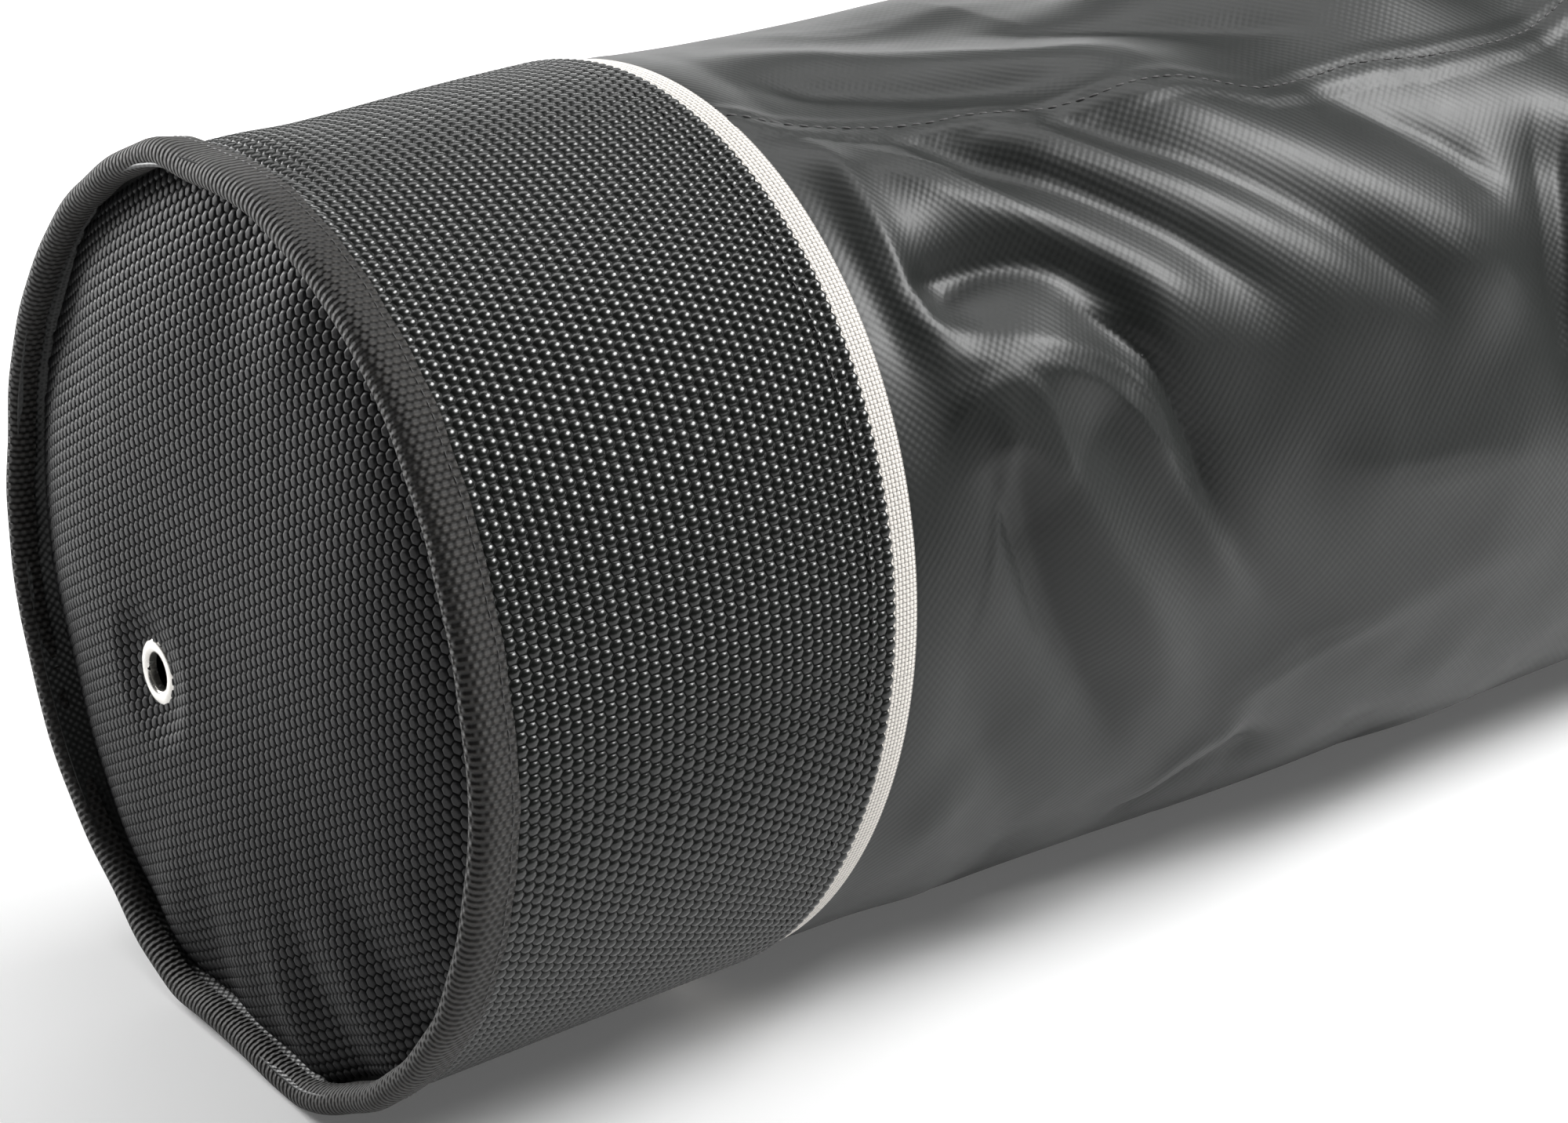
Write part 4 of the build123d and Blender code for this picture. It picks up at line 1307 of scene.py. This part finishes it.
def box(x0, x1, half):
    """Corners of a sewn box: (x, distance round the bag)."""
    return [(x0, -half), (x0, half), (x1, half), (x1, -half), (x0, -half)]


def crossed(x0, x1, half):
    return box(x0, x1, half) + [(x1, half), (x1, -half), (x0, half)]


def box_stitches(name, corners, middle, r, body):
    """Stitching on the bag's surface from corner to corner, each (x, distance round the bag)."""
    corners = np.array(corners, float)
    t = np.linspace(0, 1, 12)[:, None]
    x, s = np.concatenate([a + (b - a) * t for a, b in zip(corners, corners[1:])]).T
    stitches(name, *surface_line(x, middle + s / MM_PER_DEG, r), body, pitch=3.0, long=2.4)


def build_hinge():
    body_low, body_high = span_x("hinge_strap_body")
    lid_low, lid_high = span_x("hinge_strap_lid")
    on_body = TUBE_R + 0.75
    on_lid = reach_of("hinge_strap_lid")[1][1] - AXIS_Y - 0.7
    xs = np.concatenate([
        np.linspace(body_low, body_high, 10), np.linspace(body_high + 1, lid_low - 1, 8),
        np.linspace(lid_low, lid_high, 10),
    ])
    round_bag = np.linspace(-30, 30, 25)
    x, s = np.meshgrid(xs, round_bag, indexing="ij")
    r = on_body + (on_lid - on_body) * ease(x, body_high - 0.5, lid_low + 0.5) + 0.08 * np.sin(x / 3 + s / 5)
    over, under = (spot(x, 180 + s / MM_PER_DEG, r + lift) for lift in (0.65, -0.6))
    strap = slab("lid_hinge_webbing", over, under, xs, round_bag + 30)
    hand_over(strap, webbing(), "webbing", None, "hinge_strap_body", "hinge_strap_lid")
    _, y, z = joint_named("lid_hinge")["pos_m"]
    start, end = (((RIM_X + x) / 1000, y, z) for x in (body_high + 0.5, lid_low - 0.5))
    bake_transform(strap)
    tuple(start)
    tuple(end)
    for name, low, r, body in (("body", body_low, on_body, "bag"), ("lid", lid_high - 18, on_lid, "lid")):
        box_stitches("hinge_stitches_" + name, box(low + 3, low + 15, 26), 180.0, r + 0.85, body)


def build_pocket():
    dress(frame["nodes"]["name_card"], blank_card())
    low, high = reach_of("name_pocket")
    front = span_x("lid_panel")[1]
    _, mid_y, mid_z = (low + high) / 2 - (0, AXIS_Y, AXIS_Z)
    _, half_y, half_z = (high - low) / 2
    u, v = np.linspace(-1, 1, 45), np.linspace(-1, 1, 31)
    y, z = np.meshgrid(u, v, indexing="ij")
    corner = 6.0
    shrink = 1 - corner / half_z * (1 - rounded(np.abs(y) * half_y, half_y, corner))
    edge = np.minimum((1 - np.abs(y)) * half_y, (1 - np.abs(z)) * half_z)
    rise = front + 0.45 + 0.5 * ease(edge, 4, 11) + 0.12 * np.sin(y * 5 + z * 3) * ease(edge, 6, 14)
    over, under = (in_space(rise - depth, mid_y + y * half_y, mid_z + z * half_z * shrink) for depth in (0, 0.3))
    film = slab("clear_name_pocket", over, under, u * half_y, v * half_z)
    hand_over(film, clear_film(), "clear_film", "lid", "name_pocket")
    # Sewn on three sides: the last run starts across the top from where the one before it ends.
    side_y, side_z = half_y - 2.6, half_z - 2.6
    t = np.linspace(-1, 1, 30)
    runs = [(t * side_y, 0 * t - side_z), (0 * t + side_y, t * side_z), (0 * t - side_y, -t * side_z)]
    line = np.concatenate([in_space(front + 0.55, mid_y + y, mid_z + z) for y, z in runs])
    stitches(
        "pocket_stitches", line, np.tile([1.0, 0, 0], (len(line), 1)), "lid", pitch=3.4, long=2.6, slot="tarpaulin",
    )


# ---------------------------------------------------------------- straps and handle
def strap_deg(side):
    """Where a shoulder strap runs round the bag, from its adjuster's pivot."""
    _, y, z = joint_named(f"adjuster_{side}_tilt")["pos_m"]
    return math.degrees(math.atan2(z * 1000 - AXIS_Z, AXIS_Y - y * 1000)) % 360


SIDES = {side: strap_deg(side) for side in ("left", "right")}
YOKE_LOW, YOKE_HIGH = span_x("strap_yoke")
YOKE_OUT = TUBE_R + 1.6
STRAP_OUT = TUBE_R + 8.0


def strap_path(points, deg):
    return [spot(x, deg, r) for x, r in points]


def build_yoke():
    yoke = patch("strap_yoke_patch", YOKE_LOW, YOKE_HIGH, TUBE_R + 0.1, YOKE_OUT, 180, 104.0, 6.0, 2.24)
    hand_over(yoke, tarpaulin(), "tarpaulin", "bag", "strap_yoke")
    for name, inset in (("yoke_stitches_outer", 3.0), ("yoke_stitches_inner", 6.5)):
        low, high, side = YOKE_LOW + inset, YOKE_HIGH - inset, 52.0 * MM_PER_DEG - inset
        corners = [(low, s) for s in (-side, -30, 30, side)] + [
            (high, s) for s in (side, 60, 0, -60, -side)
        ] + [(low, -side)]
        box_stitches(name, corners, 180.0, YOKE_OUT + 0.1, "bag")


def pad_lines(low, high):
    """Underside and thickness of a pad at shares of its length, from its lower end to its sewn end."""
    x = np.linspace(low, high, 110)
    thin = high - 24.0
    bow = np.polyfit((low, (low + thin) / 2, thin), (STRAP_OUT, STRAP_OUT + 8.0, YOKE_OUT + 0.2), 2)
    seat = np.where(x < thin, np.maximum(np.polyval(bow, x), YOKE_OUT), YOKE_OUT)
    thick = 3.0 + 8.0 * (1 - ease(x, thin - 30, thin + 2))
    return x, seat, thick * (0.55 + 0.45 * ease(x, low, low + 9))


def build_pads():
    widest = 28.0
    for side, deg in SIDES.items():
        low, high = span_x(f"shoulder_pad_{side}")
        xs, seat, thick = pad_lines(low, high)
        v = np.sin(np.linspace(-math.pi / 2, math.pi / 2, 33))
        x, across = np.meshgrid(xs, v, indexing="ij")
        half = widest * (0.93 + 0.07 * np.cos((x - (low + high) / 2) / 40))
        half = np.minimum(half * (0.72 + 0.28 * rounded(low - x, 0, 16)), widest)
        s = across * half
        crown = np.clip(1 - np.abs(across) ** 3.2, 0, 1) ** 0.5
        ends = ease(x, low + 12, low + 26) * (1 - ease(x, high - 46, high - 30))
        channel = sum(hump(s, c, 2.2) for c in (-9.5, 9.5)) * ends
        cross = sum(hump(x, c, 2.2) for c in np.linspace(low + 34, high - 52, 4)) * (1 - ease(np.abs(s), 8, 11))
        t = thick[:, None]
        dent = np.clip(channel + cross, 0, 1) * t / 11
        mid = seat[:, None] + t / 2
        top = mid + t / 2 * (0.24 + 0.76 * crown) - 2.6 * dent + 0.12 * np.sin(x / 3.1 + s / 7)
        bottom = mid - t / 2 * (0.3 + 0.7 * crown) + 1.0 * dent
        out, turned = directions(deg)

        def put(x, r, s):
            return in_space(x, *(out[k] * r + turned[k] * s for k in (1, 2)))

        pad = slab(f"padded_strap_{side}", put(x, top, s), put(x, bottom, s), xs, (v + 1) * widest, sharp=0)
        each = (len(xs) - 1) * (len(v) - 1)
        dress(pad, pad_cloth(), pad_mesh(), second_on=slice(each, 2 * each))
        hand_over(pad, None, "pad_cloth", "bag", f"shoulder_pad_{side}")
        narrowing = np.interp(xs, [low, low + 5, low + 16, high], [0.8, 0.93, 0.97, 0.97])
        for name, edge in (("a", -27.9), ("b", 27.9)):
            piping = put(xs, seat + thick / 2, edge * narrowing)[::4]
            tube = ribbon(f"strap_edging_{side}_{name}", piping, 3.2, out, 2.6, parts=3, crown=0.45, columns=7)
            hand_over(tube, rim_tape(), "rim_tape", "bag")
        corners = box(high - 4, high - 19, 24)[:4] + [(high - 4, 24)]
        box_stitches(f"pad_stitches_{side}", corners, deg, YOKE_OUT + 3.0, "bag")


def build_webbing():
    for side, deg in SIDES.items():
        body = f"adjuster_{side}"
        _, turned = directions(deg)
        low, high = span_x(f"strap_webbing_{side}")
        adj_low, adj_high = span_x(f"strap_adjuster_{side}")
        seat, rise = YOKE_OUT + 0.95, STRAP_OUT - 1.25

        def strap(name, points, wide, thick, *ride, **settings):
            piece = ribbon(f"{name}_{side}", strap_path(points, deg), wide, turned, thick, **settings)
            return hand_over(piece, webbing(), "webbing", *ride)

        points = [(low + x, seat + lift) for x, lift in ((0, 0), (12, 0), (28, 0), (42, 0.8), (62, 3.2))]
        points += [(adj_low - 4, rise - 0.4), (adj_low + 4, rise), (high - 1, rise + 0.2)]
        lower = strap("lower_webbing", points, WEBBING_WIDE, WEBBING_THICK, None, f"strap_webbing_{side}")
        start, end = (tuple(spot(adj_low + x, deg, rise)) for x in (-34.0, 2.0))
        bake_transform(lower)
        crossing = crossed(low + 3, low + 25, 9)
        low, high = span_x(f"strap_tail_{side}")
        top = STRAP_OUT + 4.2
        points = [(low, seat + 3.7), (low + 14, seat + 4.3), (low + 34, top - 3.4), (adj_low - 6, top - 0.2)]
        points += [(adj_low + 2, top + 1.1), (high - 4.5, top + 1.2), (high - 1.2, top - 0.2), (high - 1.1, top - 2.2)]
        strap("free_webbing", points, WEBBING_WIDE, WEBBING_THICK, body, f"strap_tail_{side}")

        node = dress(frame["nodes"][f"strap_adjuster_{side}"], moulded_plastic())
        rounding = node.modifiers.new("rounded edges", "BEVEL")
        rounding.width = 0.0006
        rounding.segments = 2
        rounding.limit_method = "ANGLE"
        rounding.angle_limit = math.radians(50)

        low, high = span_x(f"strap_anchor_{side}")
        anchor = patch(f"webbing_anchor_{side}", low, high, TUBE_R + 0.1, YOKE_OUT, deg, 46 / MM_PER_DEG, 6.0)
        hand_over(anchor, tarpaulin(), "tarpaulin", "bag", f"strap_anchor_{side}")
        box_stitches(f"anchor_stitches_{side}", box(low + 2.4, high - 2.4, 20.6), deg, YOKE_OUT + 0.1, "bag")
        box_stitches(f"webbing_stitches_{side}", crossing, deg, YOKE_OUT + 1.85, "bag")

        _, far = span_x(f"adjuster_keeper_{side}")
        x, r, bend = adj_high - 2.1, STRAP_OUT + 2.1, 3.4
        points = [
            (x + bend * math.cos(t), r + bend * math.sin(t)) for t in np.radians([62, 100, 140, 180, 220, 260, 298])
        ]
        points = [(far, r + 0.9), (x + 5, r + 1.2)] + points + [(x + 5, r - 1.2), (far, r - 0.9)]
        strap("adjuster_keeper_webbing", points, 23, 1.5, "bag", f"adjuster_keeper_{side}", parts=3)


def build_handle():
    low, high = reach_of("grab_handle")
    x = (low[0] + high[0]) / 2 - RIM_X
    width = high[0] - low[0]
    pivot_y = joint_named("handle_swing")["pos_m"][1] * 1000 - AXIS_Y
    half = 60.0
    peak = high[1] - AXIS_Y - 1.5
    seat = YOKE_OUT + 1.2
    rise_y = math.sqrt(seat**2 - half**2)
    root = [(math.sqrt(seat**2 - z**2), z) for z in (92, 82, 72, 65.5)]
    arc_r = (half**2 + (peak - pivot_y) ** 2) / (2 * (peak - pivot_y))
    centre = peak - arc_r
    arc = [(centre + arc_r * math.cos(t), arc_r * math.sin(t)) for t in np.radians(np.linspace(52, 0, 8))]
    upper = root + [(rise_y + 4.5, 61.2), (pivot_y, 60.2)] + arc
    y, z = np.array(upper + [(y, -z) for y, z in reversed(upper[:-1])]).T
    handle = ribbon("grab_handle_webbing", in_space(x, y, z), width, (1, 0, 0), 2.7)
    hand_over(handle, webbing(), "webbing", None, "grab_handle", "handle_root_upper", "handle_root_lower")
    tuple(in_space(x, rise_y + 1.5, 0))
    tuple(in_space(x, pivot_y + 1.0, 0))
    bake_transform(handle)
    for name, sign in (("upper", 1), ("lower", -1)):
        middle = 180 - sign * math.degrees(math.asin(78 / seat))
        corners = [
            (x + a * 8, b * 11) for a, b in ((-1, -1), (1, -1), (1, 1), (-1, 1), (-1, -1), (1, 1), (-1, 1), (1, -1))
        ]
        box_stitches(f"handle_stitches_{name}", corners, middle, seat + 1.5, "bag")
    a = np.arcsin(np.linspace(-35.0, 35.0, 61) / arc_r)
    t = np.linspace(0, 2 * math.pi, 28, endpoint=False)
    along, ring = np.meshgrid(a, t, indexing="ij")
    taper = 0.8 + 0.2 * np.clip(1 - np.abs(along / a[-1]) ** 8, 0, 1) ** 0.5
    ribs = 1 + 0.03 * np.cos(along * arc_r / 3.0)
    cx = np.sign(np.cos(ring)) * np.abs(np.cos(ring)) ** 0.7 * (width / 2 + 2.3) * taper
    cr = np.sign(np.sin(ring)) * np.abs(np.sin(ring)) ** 0.8 * 4.0 * taper * ribs

    def put(scale_r, scale_x):
        r = arc_r + cr * scale_r
        return in_space(x + cx * scale_x, centre + r * np.cos(along), r * np.sin(along))

    grip = slab(
        "handle_grip_sleeve", put(1, 1), put(0.46, 0.9), a * arc_r, np.append(t, 2 * math.pi) * 10, wrap=True,
        sharp=60,
    )
    hand_over(grip, pad_cloth(), "pad_cloth", "handle", "handle_grip")


# ---------------------------------------------------------------- operators
class ROPEBAG_OT_stage(bpy.types.Operator):
    """Pale floor, soft studio light and the camera."""

    bl_idname = "rope_bag.stage"
    bl_label = "Stage"
    bl_options = {"REGISTER", "UNDO"}

    def execute(self, context):
        build_stage()
        return {"FINISHED"}


class ROPEBAG_OT_base(bpy.types.Operator):
    """Studded base with its puckers and its drain eyelet."""

    bl_idname = "rope_bag.base"
    bl_label = "Base"
    bl_options = {"REGISTER", "UNDO"}

    def execute(self, context):
        build_base_panel()
        build_eyelet()
        return {"FINISHED"}


class ROPEBAG_OT_rim(bpy.types.Operator):
    """Woven tape folded over the base seam."""

    bl_idname = "rope_bag.rim"
    bl_label = "Rim tape"
    bl_options = {"REGISTER", "UNDO"}

    def execute(self, context):
        build_rim()
        return {"FINISHED"}


class ROPEBAG_OT_band(bpy.types.Operator):
    """Studded band round the foot of the bag, with its stitching."""

    bl_idname = "rope_bag.band"
    bl_label = "Studded band"
    bl_options = {"REGISTER", "UNDO"}

    def execute(self, context):
        build_band()
        return {"FINISHED"}


class ROPEBAG_OT_trim(bpy.types.Operator):
    """Pale woven trim above the band."""

    bl_idname = "rope_bag.trim"
    bl_label = "Trim"
    bl_options = {"REGISTER", "UNDO"}

    def execute(self, context):
        build_trim()
        return {"FINISHED"}


class ROPEBAG_OT_body(bpy.types.Operator):
    """Tarpaulin tube with its folds, seam and backing."""

    bl_idname = "rope_bag.body"
    bl_label = "Body"
    bl_options = {"REGISTER", "UNDO"}

    def execute(self, context):
        build_body()
        build_seam()
        return {"FINISHED"}


class ROPEBAG_OT_mouth(bpy.types.Operator):
    """Tape round the mouth and the rope loops inside."""

    bl_idname = "rope_bag.mouth"
    bl_label = "Mouth"
    bl_options = {"REGISTER", "UNDO"}

    def execute(self, context):
        build_mouth()
        build_tie_loops()
        return {"FINISHED"}


class ROPEBAG_OT_lid(bpy.types.Operator):
    """Lid with its tapes, closure, pull tab and name pocket."""

    bl_idname = "rope_bag.lid"
    bl_label = "Lid"
    bl_options = {"REGISTER", "UNDO"}

    def execute(self, context):
        build_lid_cover()
        build_lid_tapes()
        build_closure()
        build_pull_tab()
        build_pocket()
        return {"FINISHED"}


class ROPEBAG_OT_hinge(bpy.types.Operator):
    """Webbing that hinges the lid."""

    bl_idname = "rope_bag.hinge"
    bl_label = "Lid hinge"
    bl_options = {"REGISTER", "UNDO"}

    def execute(self, context):
        build_hinge()
        return {"FINISHED"}


class ROPEBAG_OT_straps(bpy.types.Operator):
    """Padded straps, adjusters and webbing."""

    bl_idname = "rope_bag.straps"
    bl_label = "Shoulder straps"
    bl_options = {"REGISTER", "UNDO"}

    def execute(self, context):
        build_yoke()
        build_pads()
        build_webbing()
        return {"FINISHED"}


class ROPEBAG_OT_handle(bpy.types.Operator):
    """Webbing handle with a soft grip."""

    bl_idname = "rope_bag.handle"
    bl_label = "Grab handle"
    bl_options = {"REGISTER", "UNDO"}

    def execute(self, context):
        build_handle()
        return {"FINISHED"}


OPERATORS = (
    ROPEBAG_OT_stage,
    ROPEBAG_OT_base,
    ROPEBAG_OT_rim,
    ROPEBAG_OT_band,
    ROPEBAG_OT_trim,
    ROPEBAG_OT_body,
    ROPEBAG_OT_mouth,
    ROPEBAG_OT_lid,
    ROPEBAG_OT_hinge,
    ROPEBAG_OT_straps,
    ROPEBAG_OT_handle,
)


class ROPEBAG_PT_panel(bpy.types.Panel):
    """Lists the bag's settings and the steps that build it."""

    bl_idname = "ROPEBAG_PT_panel"
    bl_label = "Rope Storage Bag"
    bl_space_type = "VIEW_3D"
    bl_region_type = "UI"
    bl_category = "Rope Bag"

    def draw(self, context):
        for group in (looks(), sizes(), studio()):
            box = self.layout.box()
            for key in group.bl_rna.properties.keys():
                if key not in {"rna_type", "name"}:
                    box.prop(group, key)
        for made in OPERATORS:
            self.layout.operator(made.bl_idname)


CLASSES = (RopeBagLooks, RopeBagSizes, RopeBagStage, *OPERATORS, ROPEBAG_PT_panel)


def register():
    for made in CLASSES:
        bpy.utils.register_class(made)
    bpy.types.Scene.rope_bag_looks = PointerProperty(type=RopeBagLooks)
    bpy.types.Scene.rope_bag_sizes = PointerProperty(type=RopeBagSizes)
    bpy.types.Scene.rope_bag_stage = PointerProperty(type=RopeBagStage)


def unregister():
    del bpy.types.Scene.rope_bag_stage
    del bpy.types.Scene.rope_bag_sizes
    del bpy.types.Scene.rope_bag_looks
    for made in reversed(CLASSES):
        bpy.utils.unregister_class(made)


def main():
    register()
    bpy.ops.rope_bag.stage()
    bpy.ops.rope_bag.base()
    bpy.ops.rope_bag.rim()
    bpy.ops.rope_bag.band()
    bpy.ops.rope_bag.trim()
    bpy.ops.rope_bag.body()
    bpy.ops.rope_bag.mouth()
    bpy.ops.rope_bag.lid()
    bpy.ops.rope_bag.hinge()
    bpy.ops.rope_bag.straps()
    bpy.ops.rope_bag.handle()


if __name__ == "__main__":
    main()
